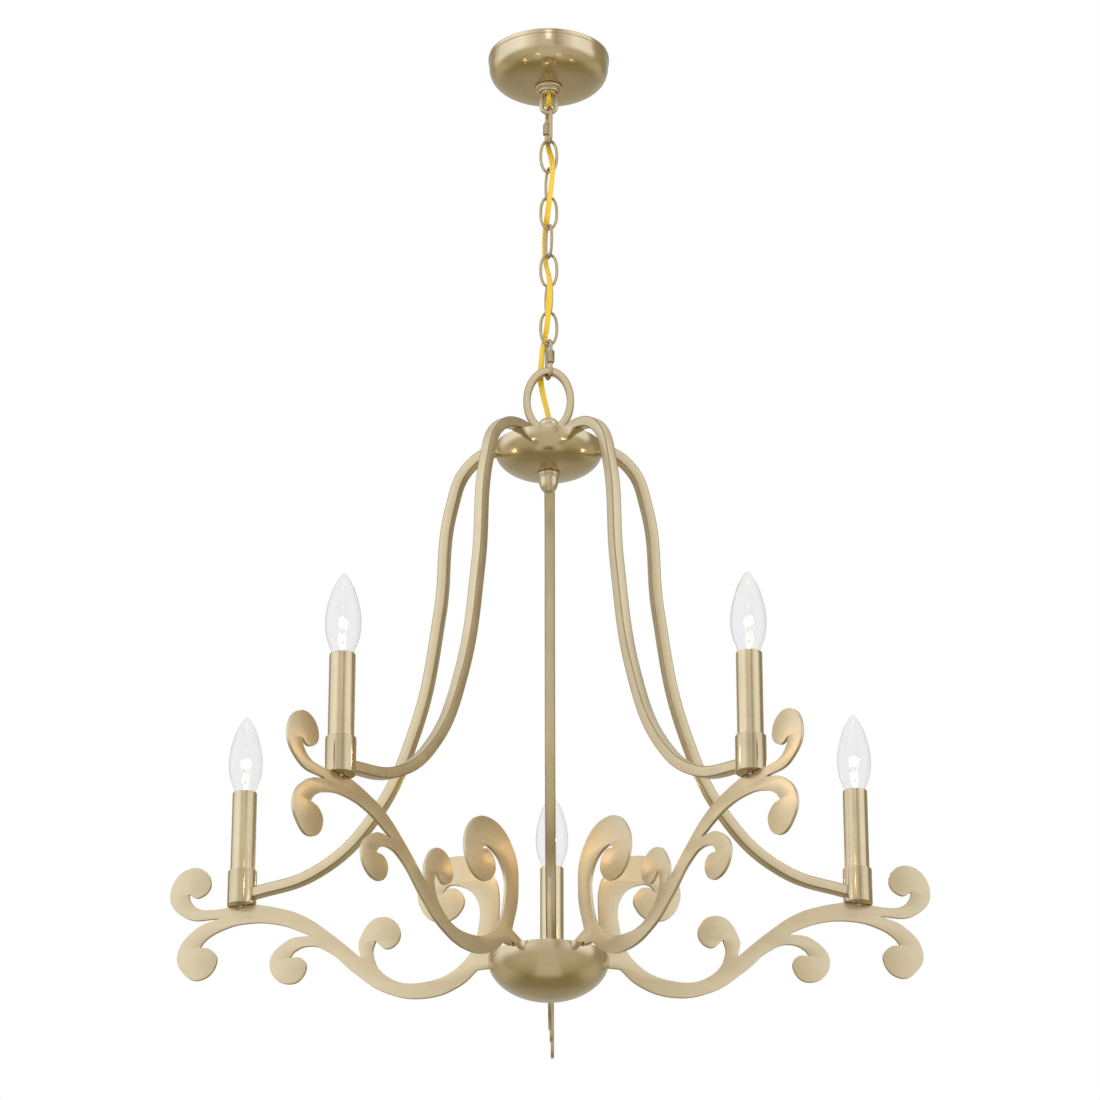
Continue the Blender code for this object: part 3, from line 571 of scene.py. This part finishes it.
def ceiling_fittings():
    """Canopy, collar, loop, nipple, nut and ground screw. The strap keeps its CAD solid."""
    body = "ceiling_mount"
    shoulder, inside, nipple_hole, flat = 0.0648, 0.0638, 0.0053, 0.011
    bend = superellipse(shoulder, 0.031, CANOPY_SQUARENESS, 48, 0, -math.pi / 2)
    hollow = superellipse(inside, 0.030, CANOPY_SQUARENESS, 48, 0, -math.pi / 2)
    outer = rounded([
        (inside, 0, 0), (0.0655, 0, 0.0005),
        (0.0655, -CANOPY_RIM_DROP, 0.0006), (shoulder, -0.0052, 0.0002),
    ], closed=False)
    outer += [(r, z - CANOPY_RIM_DROP) for r, z in bend if flat < r < 0.0647]
    outer += [(nipple_hole, -CANOPY_DEPTH)]
    inner = [(nipple_hole, -CANOPY_DEPTH + SHEET)]
    inner += [(r, z - CANOPY_RIM_DROP) for r, z in reversed(hollow) if r > flat]
    add("canopy_cover", lathe("canopy_cover", outer + inner, 128), SPUN, body, ["canopy"])

    top = -CANOPY_DEPTH - GAP
    collar = rounded([
        (0.0099, top, 0), (0.0148, top, 0.0003), (0.0150, top - 0.0022, 0.0008),
        (0.0140, top - 0.0036, 0.0008), (0.0122, top - 0.0042, 0.0004), (0.0122, top - 0.0066, 0.0008),
        (0.0112, top - 0.0080, 0.0006), (0.0099, top - 0.0080, 0.0002),
    ])
    add("canopy_collar_ring", lathe("canopy_collar_ring", collar, 72), TURNED, body, ["canopy_collar"])

    stem = rounded([
        (0.0094, top, 0.0002), (0.0094, -0.0430, 0.0006), (0.0090, -0.0460, 0.0008),
        (0.0042, -0.0460, 0.0004), (0.0042, -0.0442, 0), (nipple_hole, -0.0442, 0), (nipple_hole, top, 0),
    ])
    add("canopy_loop_stem", lathe("canopy_loop_stem", stem, 56), TURNED, body, ["canopy_loop"])
    centre = LOOP_BOTTOM + LOOP_HALF_WIDTH
    path = [Vector((LOOP_HALF_WIDTH, 0, -0.0440)), Vector((LOOP_HALF_WIDTH, 0, (centre - 0.044) / 2))]
    path += [Vector((LOOP_HALF_WIDTH * math.cos(a), 0, centre - LOOP_HALF_WIDTH * math.sin(a)))
             for a in [math.pi * i / 20 for i in range(21)]]
    path += [Vector((-p.x, 0, p.z)) for p in reversed(path[:2])]
    bar = sweep("canopy_loop_bar", path, circle(LOOP_WIRE / 2, 20), Vector((0, 1, 0)))
    add("canopy_loop_bar", bar, CAST, body)

    nipple = [(0.0049, -0.0023)]
    pitch = 0.0009
    for k in range(int(0.0410 / pitch)):
        z = -0.0026 - k * pitch
        nipple += [(0.0049, z), (0.0045, z - pitch / 2)]
    nipple += [(0.0049, -0.0438), (0.0038, -0.0438), (0.0038, -0.0023)]
    add("nipple_thread", lathe("nipple_thread", nipple, 40, angle=20), ZINC, body, ["threaded_nipple"])
    nut = lathe("nipple_nut", rounded([
        (0.0050, -0.0060, 0), (0.0078, -0.0060, 0.0006), (0.0082, -0.0066, 0.0004),
        (0.0082, -0.0092, 0.0004), (0.0078, -0.0098, 0.0006), (0.0050, -0.0098, 0),
    ]), 6, angle=20)
    add("nipple_nut", nut, ZINC, body)

    refinish("mounting_strap", ZINC)
    screw = lathe("ground_screw", rounded([
        (0, -0.0060, 0), (0.0016, -0.0060, 0.0003), (0.0016, -0.0040, 0), (0.0036, -0.0040, 0.0003),
        (0.0036, -0.0022, 0), (0, -0.0022, 0),
    ], closed=False), 24, closed=False)
    add("ground_screw", screw, GREEN_SCREW, body, matrix=upright(0.022, 0, 0))


# ---------------------------------------------------------------- chain

HANGING_POINTS = [LOOP_BOTTOM]  # heights at which one piece hangs in the next; chain() adds the rest


def chain():
    """Finer links in place of the plain ones, each with the bead of its weld on one side."""
    top = LOOP_BOTTOM + LOOP_WIRE / 2 + GAP + QUICK_WIRE / 2
    quick_link("quick_link_upper", top, "upper_nut", -1)
    bottom = top - 2 * QUICK_HALF_LENGTH
    above = QUICK_WIRE
    for number in range(1, 8):
        HANGING_POINTS.append(bottom)
        top = bottom + above / 2 + GAP + LINK_WIRE / 2
        chain_link(number, top)
        bottom = top - 2 * LINK_HALF_LENGTH
        above = LINK_WIRE
    HANGING_POINTS.append(bottom)
    top = bottom + above / 2 + GAP + QUICK_WIRE / 2
    quick_link("quick_link_lower", top, "lower_nut", 1)
    HANGING_POINTS.append(top - 2 * QUICK_HALF_LENGTH)


def chain_link(number, top):
    count = 72
    centre = top - LINK_HALF_LENGTH
    outline = superellipse(LINK_HALF_WIDTH, LINK_HALF_LENGTH, LINK_SQUARENESS, count)
    path = [Vector((x, 0, z)) for x, z in outline]
    seam = count // 2 if number % 2 else 0

    def weld(i):
        away = min(abs(i - seam), count - abs(i - seam)) * 1.4
        return 1.0 + 0.10 * math.exp(-(away / 1.6) ** 2) - 0.05 * math.exp(-(away / 0.7) ** 2)

    name = "link_%d_wire" % number
    mesh = sweep(name, path, circle(LINK_WIRE / 2, 16), Vector((0, 1, 0)), closed=True, swell=weld)
    turn = 0.0 if number % 2 else SIDEWAYS_LINK_ANGLE
    add(name, mesh, LINK_METAL, "chain", ["chain_link_%d" % number],
        upright(0, 0, centre, turn))


def quick_link(node_name, top, nut_body, nut_side):
    """Screw-lock link: a C of wire with a thread at its open side, and the long nut over the gap."""
    centre = top - QUICK_HALF_LENGTH
    straight = QUICK_HALF_LENGTH - QUICK_HALF_WIDTH
    low, high = -0.0064, -0.0018
    side = nut_side * QUICK_HALF_WIDTH
    turns = [math.pi * i / 24 for i in range(25)]
    path = [Vector((side, 0, high + (straight - high) * k / 24)) for k in range(24)]
    path += [Vector((side * math.cos(a), 0, straight + QUICK_HALF_WIDTH * math.sin(a))) for a in turns]
    path += [Vector((-side * math.cos(a), 0, -straight - QUICK_HALF_WIDTH * math.sin(a))) for a in turns]
    path += [Vector((side, 0, -straight + (low + straight) * k / 6)) for k in range(1, 7)]

    def thread(i):
        return (0.93 if i % 2 else 1.0) if i < 24 and path[i].z < 0.010 else 1.0

    wire = circle(QUICK_WIRE / 2, 16)
    mesh = sweep(node_name + "_wire", path, wire, Vector((0, 1, 0)), swell=thread, angle=50)
    at = upright(0, 0, centre, QUICK_ANGLE)
    add(node_name + "_wire", mesh, LINK_METAL, node_name + "_body", [node_name], at)
    half = 0.007
    nut = lathe(node_name + "_long_nut", rounded([
        (0.0026, half, 0), (0.0034, half, 0.0002), (0.0042, half - 0.0010, 0.0005),
        (0.0042, -half + 0.0010, 0.0005), (0.0034, -half, 0.0002), (0.0026, -half, 0),
    ]), 6, angle=15)
    work = bmesh.new()
    work.from_mesh(nut)
    upright_edges = [
        e for e in work.edges
        if abs(e.verts[0].co.z - e.verts[1].co.z) > 0.001 and e.calc_face_angle(0) > 0.5
    ]
    bmesh.ops.bevel(work, geom=upright_edges, offset=0.0003, segments=2, affect="EDGES")
    work.to_mesh(nut)
    work.free()
    shaded(nut, 30)
    add(node_name + "_long_nut", nut, LINK_METAL, nut_body, [node_name + "_nut"],
        at @ Matrix.Translation((side, 0, 0)))


def cord():
    """Flat two-core flex, cut halfway between the four hinges."""
    points = [Vector(p) * MM for p in CORD_ROUTE]
    path = []
    for i in range(len(points) - 1):
        path += smooth_stretch(points, i)
    path.append(points[-1])
    core, apart = 0.00155, 0.00150
    section = []
    reach = math.pi * 0.72
    for k in range(13):
        a = -reach + 2 * reach * k / 12
        section.append((apart + core * math.cos(a), core * math.sin(a)))
    section += [(-x, -y) for x, y in section]
    hinges = HANGING_POINTS[:2] + HANGING_POINTS[-2:]
    middles = [1.0] + [(a + b) / 2 for a, b in zip(hinges, hinges[1:])] + [-1.0]
    for k, hinge in enumerate(hinges):
        chosen = [i for i, p in enumerate(path) if middles[k + 1] <= p.z <= middles[k]]
        first, last = max(0, chosen[0] - 1), min(len(path) - 1, chosen[-1])
        part = path[first:last + 1]
        name = "flex_%d" % (k + 1)

        def twist(i):
            z = part[i].z
            slim = math.exp(-((z + 0.046) / 0.014) ** 2) + 0.9 * math.exp(-((z + 0.452) / 0.012) ** 2)
            return 0.55 * math.sin((z + 0.02) * 34.0) * (1 - min(1, slim))

        def narrow(i):
            return 0.86 if part[i].z > -0.050 or part[i].z < -0.440 else 1.0

        mesh = sweep(name, part, section, Vector((1, 0, 0)), swell=narrow, twist=twist, angle=60)
        made = add(name, mesh, FLEX, None, ["power_cord"])
        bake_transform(made)


# ---------------------------------------------------------------- hub

def hub():
    """Ring, cap, hub, dish and finial, from the top down. The rod keeps its CAD solid."""
    body = "fixture"
    hung_from = HANGING_POINTS[-1]
    top = hung_from + QUICK_WIRE / 2 + 0.0018 + 2 * RING_HALF_BAND
    foot = HUB_CORE_TOP + GAP
    centre, half = (top + foot) / 2, (top - foot) / 2

    count = 96
    path = []
    for k in range(count):
        a = math.tau * k / count
        across = (RING_HALF_WIDTH - RING_HALF_BAND) * math.cos(a)
        path.append(Vector((across, 0, centre + (half - RING_HALF_BAND) * math.sin(a))))
    band = rounded_bar(0.00325, RING_HALF_BAND, 0.0007)
    mesh = sweep("hanging_ring_band", path, band, Vector((0, 1, 0)), closed=True, angle=40)
    # The band's rounded corners get the darker brass: painted shade along the corners.
    paint_corner_shade(mesh, band)
    add("hanging_ring_band", mesh, (DRAWN, DRAWN_CORNER_SHADE), body, ["hub_ring"])
    seat = rounded([
        (ROD_HOLE, foot, 0), (0.0126, foot, 0.0004), (0.0130, foot + 0.0022, 0.0006),
        (0.0114, foot + 0.0079, 0.0006), (ROD_HOLE, foot + 0.0078, 0),
    ])
    add("hanging_ring_seat", lathe("hanging_ring_seat", seat, 64), TURNED, body)

    base = HUB_CAP_TOP - 0.0105
    dome = superellipse(0.0109, 0.0095, 2, 20, math.pi / 2, 0)
    profile = [(0.0030, HUB_CAP_TOP)] + [(r, base + 0.001 + z) for r, z in dome if r > 0.0036]
    profile += [(0.0109, base), (ROD_HOLE, base), (ROD_HOLE, base + 0.0055), (0.0030, base + 0.0055)]
    add("hub_cap_dome", lathe("hub_cap_dome", profile, 56), TURNED, body, ["hub_cap"])

    z = HUB_CORE_TOP
    core = rounded([
        (ROD_HOLE, z, 0), (0.0180, z, 0.0008), (0.0200, z - 0.002, 0.0008),
        (0.0200, z - 0.023, 0.0008), (ROD_HOLE, z - 0.023, 0),
    ])
    add("hub_core_turned", lathe("hub_core_turned", core, 80), TURNED, body, ["hub_core"])

    profile = dish(DISH_RADIUS, DISH_DEPTH, DISH_RIM, ROD_HOLE, 0.0114, DISH_SQUARENESS)
    add("hub_dish_spun", lathe("hub_dish_spun", profile, 128), SPUN, body, ["hub_dish"])

    top = DISH_RIM - DISH_DEPTH - GAP
    finial = rounded([
        (0, top - 0.0086, 0), (ROD_HOLE, top - 0.0086, 0), (ROD_HOLE, top, 0), (0.0114, top, 0.0003),
        (0.0120, top - 0.0018, 0.0007), (0.0112, top - 0.0034, 0.0004), (0.0114, top - 0.0052, 0.0006),
        (0.0103, top - 0.0068, 0.0006), (0.0100, top - 0.0118, 0.002), (0.0082, top - 0.0172, 0.003),
        (0.0050, top - 0.0210, 0.002), (0.0014, top - 0.0226, 0.0008), (0, top - 0.0238, 0),
    ], closed=False)
    acorn = lathe("hub_finial_acorn", finial, 64, closed=False)
    add("hub_finial_acorn", acorn, TURNED, body, ["hub_finial"])
    refinish("hub_rod", ZINC)


def dish(radius, depth, rim, hole, level, squareness):
    """Spun sheet dish with a rolled lip: down its outer side to the hole, then back up inside."""
    outer = superellipse(radius, depth, squareness, 48, 0, -math.pi / 2)
    inner = superellipse(radius - SHEET, depth - SHEET, squareness, 48, 0, -math.pi / 2)

    def section(points):
        bottom = rim + points[-1][1]
        return [(r, rim + z) for r, z in points if r > level * 1.2] + [(level, bottom), (hole, bottom)]

    lip = [(radius - SHEET / 2 + SHEET / 2 * math.cos(a), rim + 0.0003 * math.sin(a))
           for a in [math.pi * (1 - k / 6) for k in range(1, 6)]]
    return lip + section(outer) + section(inner)[::-1]


# ---------------------------------------------------------------- arms and candles

def arms():
    """Arms, scroll plates and candles. Each shape is made once and placed five times round the axis."""
    line = bezier_points(ARM_LINE, 14)
    end = CANDLE_RADIUS - CUP_RADIUS + 0.0013  # just inside the cup's wall
    path = [Vector((p.x, 0, p.y)) for p in line if p.x < end - 0.0005]
    before, after = [p for p in line if p.x < end][-1], [p for p in line if p.x >= end][0]
    last = before.lerp(after, (end - before.x) / (after.x - before.x))
    path.append(Vector((last.x, 0, last.y)))
    square = rounded_bar(ARM_HALF_SIDE, ARM_HALF_SIDE, ARM_CORNER)
    arm_mesh = sweep("arm_tube", path, square, Vector((0, 1, 0)), angle=40)
    # The arm's rounded corners get the darker brass: painted shade along the corners.
    paint_corner_shade(arm_mesh, square)
    scroll_mesh = solid_outline("scroll_plate", SCROLL_OUTLINE, PLATE_THICKNESS, 0.0004)
    meshes = candle_meshes()
    for number in range(1, ARM_COUNT + 1):
        angle = BACK_ARM_ANGLE + math.tau * (number - 1) / ARM_COUNT
        at = upright(0, 0, SLEEVE_TOP, angle)
        add("arm_%d_tube" % number, arm_mesh, (DRAWN, DRAWN_CORNER_SHADE), "fixture", ["arm_%d" % number],
            at)
        add("scroll_%d_plate" % number, scroll_mesh, (PLATE, PLATE_EDGE), "fixture", ["scroll_%d" % number],
            at)
        at = upright(CANDLE_RADIUS * math.cos(angle), CANDLE_RADIUS * math.sin(angle), SLEEVE_TOP, angle)
        for name, mesh, finish, body, nodes, slot in meshes:
            rides = "bulb_%d_body" % number if body == "bulb" else body
            replaced = ["%s_%d" % (n, number) for n in nodes]
            piece = add("%s_%d" % (name, number), mesh, finish, rides, replaced, at)
            if finish is GLASS:
                piece.visible_shadow = False
            if name == "bulb_filament":
                lit(piece)


def lit(piece):
    """The filament's own light."""
    data = bpy.data.lights.new("bulb_light", "POINT")
    data.energy = 0.22
    data.color = (1.0, 0.66, 0.34)
    data.shadow_soft_size = 0.0045
    lamp = bpy.data.objects.new("bulb_light", data)
    bpy.context.scene.collection.objects.link(lamp)
    lamp.parent = piece
    lamp.location = (0, 0, 0.033)


def candle_meshes():
    """Every piece of a candle, about its own axis. Heights are from the top of the sleeve."""
    top, bottom, floor, inside = -0.086, -0.1229, -0.1209, 0.01305
    cup = lathe("cup_turned", rounded([
        (inside, top, 0.0003), (CUP_RADIUS, top, 0.0004), (CUP_RADIUS, bottom, 0.0006),
        (0.0024, bottom, 0.0002), (0.0024, floor, 0), (inside, floor, 0.0004),
    ]), 72)
    sleeve = lathe("sleeve_tube", rounded([
        (0.01185, 0, 0.0003), (0.01275, 0, 0.0003), (0.01275, floor + GAP, 0), (0.01185, floor + GAP, 0),
    ]), 72)
    socket = lathe("socket_body", rounded([
        (0, -0.034, 0), (0.0064, -0.034, 0.0002), (0.0064, -0.013, 0.0005), (0.0085, -0.013, 0.0006),
        (0.0085, -0.020, 0.0003), (0.0080, -0.021, 0.0003), (0.0085, -0.022, 0.0003),
        (0.0085, -0.046, 0.001), (0.0055, -0.050, 0.001), (0.0055, floor + GAP, 0),
        (0.0024, floor + GAP, 0), (0.0024, floor + 0.010, 0), (0, floor + 0.010, 0),
    ], closed=False), 48, closed=False)
    head = bottom - GAP
    screw = lathe("screw_turned", rounded([
        (0, floor + 0.008, 0), (0.0020, floor + 0.008, 0.0003), (0.0020, head, 0), (0.0034, head, 0.0002),
        (0.0034, head - 0.0012, 0.0006), (0.0020, head - 0.0022, 0.0008), (0, head - 0.0022, 0),
    ], closed=False), 32, closed=False)
    return (
        ("cup_turned", cup, CUP_METAL, "fixture", ["cup"], "satin_brass"),
        ("sleeve_tube", sleeve, TUBE, "fixture", ["candle_sleeve"], "satin_brass"),
        ("socket_body", socket, WHITE, "fixture", ["socket"], "socket_white"),
        ("screw_turned", screw, TURNED, "fixture", ["cup_screw"], "satin_brass"),
        ("bulb_envelope", envelope(), GLASS, "bulb", ["bulb"], "bulb_glass"),
        ("bulb_base", bulb_base(), SCREW_BRASS, "bulb", [], "satin_brass"),
        ("bulb_insulator", insulator(), BLACK, "bulb", [], "socket_white"),
        ("bulb_stem", stem(), GLASS, "bulb", [], "bulb_glass"),
        ("bulb_leads", leads(), ZINC, "bulb", [], "zinc_hardware"),
        ("bulb_filament", filament(), GLOW, "bulb", [], "bulb_glass"),
    )


def envelope():
    """Blown torpedo envelope: a thin glass shell with a drawn tip."""
    outer = [Vector((r * MM, z * MM)) for r, z in BULB_OUTLINE]
    line = [Vector((0, BULB_TIP)), Vector((0.0016, 0.0851))] + outer
    points = line[:1]
    for i in range(1, len(line) - 1):
        points += smooth_stretch(line, i)
    points.append(line[-1])
    wall = 0.0006
    inner = []
    for i, point in enumerate(points):
        before, after = points[max(0, i - 1)], points[min(len(points) - 1, i + 1)]
        along = (after - before).normalized()
        shifted = point + Vector((along.y, -along.x)) * wall
        if shifted.x > 0.0004:
            inner.append((shifted.x, shifted.y))
    profile = [tuple(p) for p in points] + inner[::-1] + [(0, BULB_TIP - 0.0035)]
    return lathe("bulb_envelope", profile, 72, closed=False, angle=60)


def bulb_base():
    """Small screw shell with its rolled thread."""
    profile = [(0.0050, -0.0078), (0.0068, -0.0086), (0.0068, -0.0100), (0.0060, -0.0112)]
    for k in range(7):
        z = -0.0120 - k * 0.0021
        profile += [(0.0056, z), (0.0061, z - 0.0006), (0.0061, z - 0.0010), (0.0056, z - 0.0016)]
    profile += [(0.0052, -0.0275), (0.0048, -0.0280)]
    return lathe("bulb_base", profile + [(r - 0.0004, z) for r, z in profile[::-1]], 48, angle=50)


def insulator():
    return lathe("bulb_insulator", rounded([
        (0, -0.0270, 0), (0.0047, -0.0270, 0), (0.0040, -0.0300, 0.0008), (0.0022, -0.0305, 0.0004),
        (0.0018, -0.0320, 0.0006), (0, -0.0320, 0),
    ], closed=False), 32, closed=False)


def stem():
    """Glass mount inside the bulb: flared at the neck, drawn up to the pinch that holds the leads."""
    return lathe("bulb_stem", rounded([
        (0, 0.0140, 0), (0.0012, 0.0138, 0.0004), (0.0022, 0.0100, 0.001), (0.0020, 0.0040, 0.002),
        (0.0028, -0.0020, 0.002), (0.0050, -0.0070, 0.001), (0.0044, -0.0076, 0.0003), (0, -0.0040, 0),
    ], closed=False), 32, closed=False)


def leads():
    """Two support wires that spread from the stem to the ends of the filament."""
    line = ((0.0010, 0.0110), (0.0012, 0.0150), (0.0030, 0.0210), (0.0050, 0.0290), (0.0054, 0.0330))
    meshes = []
    for side in (-1, 1):
        path = [Vector((side * x, 0, z)) for x, z in line]
        meshes.append(sweep("lead", path, circle(0.00022, 6), Vector((0, 1, 0))))
    return joined("bulb_leads", meshes)


def filament():
    """Coiled wire that zigzags between the two leads and a support."""
    corners = (
        (-0.0054, 0.0330), (-0.0030, 0.0385), (-0.0012, 0.0330),
        (0.0012, 0.0390), (0.0030, 0.0335), (0.0054, 0.0370),
    )
    coil_radius, coil_points, points_a_turn = 0.0006, 42, 7
    wide = Vector((0, 1, 0))
    path = []
    for (x0, z0), (x1, z1) in zip(corners, corners[1:]):
        start, end = Vector((x0, 0, z0)), Vector((x1, 0, z1))
        along = (end - start).normalized()
        across = along.cross(wide)
        for k in range(coil_points):
            a = math.tau * k / points_a_turn
            out = (wide * math.cos(a) + across * math.sin(a)) * coil_radius
            path.append(start.lerp(end, k / coil_points) + out)
    return sweep("bulb_filament", path, circle(0.00024, 5), Vector((1, 0.2, 0.1)), angle=80)


def joined(name, meshes):
    work = bmesh.new()
    for mesh in meshes:
        work.from_mesh(mesh)
    made = bpy.data.meshes.new(name)
    work.to_mesh(made)
    work.free()
    return shaded(made, 50)


# ---------------------------------------------------------------- bowl

def bowl():
    """The small bowl under the scroll plates, and the turned post inside it."""
    profile = dish(BOWL_RADIUS, BOWL_DEPTH, BOWL_RIM, 0.0023, 0.0063, 2)
    add("bowl_spun", lathe("bowl_spun", profile, 128), SPUN, "fixture", ["bowl"])
    top = SLEEVE_TOP - 0.2215
    floor = BOWL_RIM - BOWL_DEPTH + SHEET + GAP
    end = floor - SHEET - 2 * GAP
    post = rounded([
        (0, top, 0), (0.0130, top, 0.0004), (0.0140, top - 0.001, 0.0006),
        (0.0140, top - 0.010, 0.001), (0.0060, top - 0.013, 0.002), (0.0060, floor, 0),
        (0.0020, floor, 0), (0.0020, end, 0.0003), (0, end, 0),
    ], closed=False)
    turned = lathe("bowl_post_turned", post, 64, closed=False)
    add("bowl_post_turned", turned, TURNED, "fixture", ["bowl_post"])


# ---------------------------------------------------------------- studio

def ramp(world, factor, stops):
    made = node(world, "ShaderNodeValToRGB", Fac=factor)
    made.color_ramp.interpolation = "EASE"
    elements = made.color_ramp.elements
    while len(elements) < len(stops):
        elements.new(0.5)
    for element, (position, colour) in zip(elements, stops):
        element.position = position
        element.color = (*colour, 1)
    return made.outputs["Color"]


def mixed(world, factor, first, second):
    made = node(world, "ShaderNodeMix", {"data_type": "RGBA"}, Factor=factor)
    for socket, value in ((made.inputs[6], first), (made.inputs[7], second)):
        if isinstance(value, bpy.types.NodeSocket):
            world.node_tree.links.new(value, socket)
        else:
            socket.default_value = (*value, 1)
    return made.outputs[2]


def measure(world, operation, first, second=0.0):
    return node(world, "ShaderNodeMath", {"operation": operation}, n0=first, n1=second).outputs[0]


def eased(world, value, low, high, start=0.0, end=1.0):
    """A smooth step from start to end, as the value goes from low to high."""
    return node(
        world, "ShaderNodeMapRange", {"interpolation_type": "SMOOTHSTEP"}, Value=value,
        From_Min=low, From_Max=high, To_Min=start, To_Max=end,
    ).outputs[0]


def degrees(angle, colour, light):
    """A stop of the round-the-room ramp. 0 is the front, and positive angles are to the right."""
    return (angle + 180) / 360, [c * light for c in colour]


def soft_room():
    """What the metal mirrors: soft boxes left and right, a darker floor, a grey wall behind.

    The camera sees plain white instead, and light through the glass is a very pale grey.
    """
    world = bpy.data.worlds.new("studio")
    bpy.context.scene.world = world
    world.use_nodes = True
    background = world.node_tree.nodes["Background"]
    at = node(world, "ShaderNodeTexCoord").outputs["Generated"]
    way = node(world, "ShaderNodeSeparateXYZ", Vector=at)
    x, y, z = way.outputs
    ahead = measure(world, "MULTIPLY", y, -1.0)
    turn = measure(world, "ARCTAN2", x, ahead)
    turn = node(world, "ShaderNodeMapRange", Value=turn, From_Min=-math.pi, From_Max=math.pi).outputs[0]
    box, plain, brown = (1.0, 1.0, 0.98), (1.0, 0.95, 0.84), (1.0, 0.84, 0.55)
    round_room = ramp(world, turn, (
        degrees(-180, plain, 0.54), degrees(-155, plain, 0.54), degrees(-130, brown, 0.46),
        degrees(-116, plain, 0.86), degrees(-100, box, 1.20), degrees(-50, box, 1.34),
        degrees(-30, plain, 1.02), degrees(-16, plain, 0.80), degrees(-8, plain, 0.86),
        degrees(6, plain, 0.84), degrees(15, brown, 0.56), degrees(24, plain, 0.72),
        degrees(34, plain, 0.98), degrees(50, box, 1.25), degrees(84, box, 1.20),
        degrees(99, brown, 0.46), degrees(130, brown, 0.38), degrees(155, plain, 0.54),
        degrees(180, plain, 0.54),
    ))
    depth = node(world, "ShaderNodeMapRange", Value=y, From_Min=-1.0, From_Max=1.0).outputs[0]
    below = ramp(world, depth, (
        (0.05, (0.72, 0.66, 0.52)), (0.30, (0.66, 0.59, 0.44)), (0.48, (0.54, 0.47, 0.31)),
        (0.66, (0.32, 0.26, 0.11)), (0.80, (0.34, 0.29, 0.16)), (0.91, (0.44, 0.39, 0.28)),
        (0.98, (0.50, 0.45, 0.34)),
    ))
    aside = measure(world, "ABSOLUTE", x)
    lane = eased(world, aside, 0.23, 0.31, 0.9, 0.0)
    front = eased(world, y, 0.05, 0.36, 1.0, 0.0)
    below = mixed(world, measure(world, "MULTIPLY", lane, front), below, (0.74, 0.68, 0.54))
    flank = eased(world, aside, 0.36, 0.72, 0.0, 0.85)
    rear = eased(world, y, 0.05, 0.40, 0.40, 1.0)
    below = mixed(world, measure(world, "MULTIPLY", flank, rear), below, (0.70, 0.62, 0.44))
    rise = eased(world, z, -0.42, 0.02)
    room = mixed(world, rise, below, round_room)
    overhead = eased(world, z, 0.62, 0.90)
    room = mixed(world, overhead, room, (0.95, 0.93, 0.88))
    rays = node(world, "ShaderNodeLightPath").outputs
    room = mixed(world, rays["Is Transmission Ray"], room, (0.93, 0.93, 0.94))
    room = mixed(world, rays["Is Camera Ray"], room, (1.0, 1.0, 1.0))
    world.node_tree.links.new(room, background.inputs["Color"])
    background.inputs["Strength"].default_value = 1.0


def studio():
    """The mirrored room, a soft box in front, a white floor with its own light, and the camera."""
    soft_room()
    front_box = bpy.data.lights.new("front_box", "AREA")
    front_box.shape = "RECTANGLE"
    front_box.size, front_box.size_y = 0.8, 0.7
    front_box.energy = 2.6
    lamp = bpy.data.objects.new("front_box", front_box)
    lamp.location = (0.0, -4.6, 2.3)
    lamp.rotation_mode = "QUATERNION"
    lamp.rotation_quaternion = (Vector((0, 0, -0.6)) - lamp.location).to_track_quat("-Z", "Y")
    lamp.visible_camera = False
    bpy.context.scene.collection.objects.link(lamp)

    bpy.ops.mesh.primitive_plane_add(size=30, location=(0, 0, FLOOR_LEVEL))
    floor = bpy.context.object
    floor.name = "floor"
    paper = principled("floor_paper", Base_Color=(0.78, 0.77, 0.75, 1), Roughness=0.9)[0]
    floor.data.materials.append(paper)
    floor.visible_glossy = False
    floor_only = bpy.data.collections.new("floor_only")
    floor_only.objects.link(floor)
    wash = bpy.data.lights.new("floor_wash", "SUN")
    wash.energy = 1.9
    wash.angle = math.radians(50)
    sun = bpy.data.objects.new("floor_wash", wash)
    sun.rotation_euler = (math.radians(12), 0, 0)
    sun.light_linking.receiver_collection = floor_only
    bpy.context.scene.collection.objects.link(sun)

    data = bpy.data.cameras.new("camera")
    camera = bpy.data.objects.new("camera", data)
    bpy.context.scene.collection.objects.link(camera)
    data.sensor_width = 36.0
    data.lens = CAMERA_LENS
    data.clip_end = 60
    camera.location = CAMERA_PLACE
    camera.rotation_euler = (math.radians(90 + CAMERA_TILT), 0, math.radians(CAMERA_TURN))
    bpy.context.scene.camera = camera
    bpy.context.scene.view_settings.view_transform = "Standard"


ceiling_fittings()
chain()
cord()
hub()
arms()
bowl()
studio()
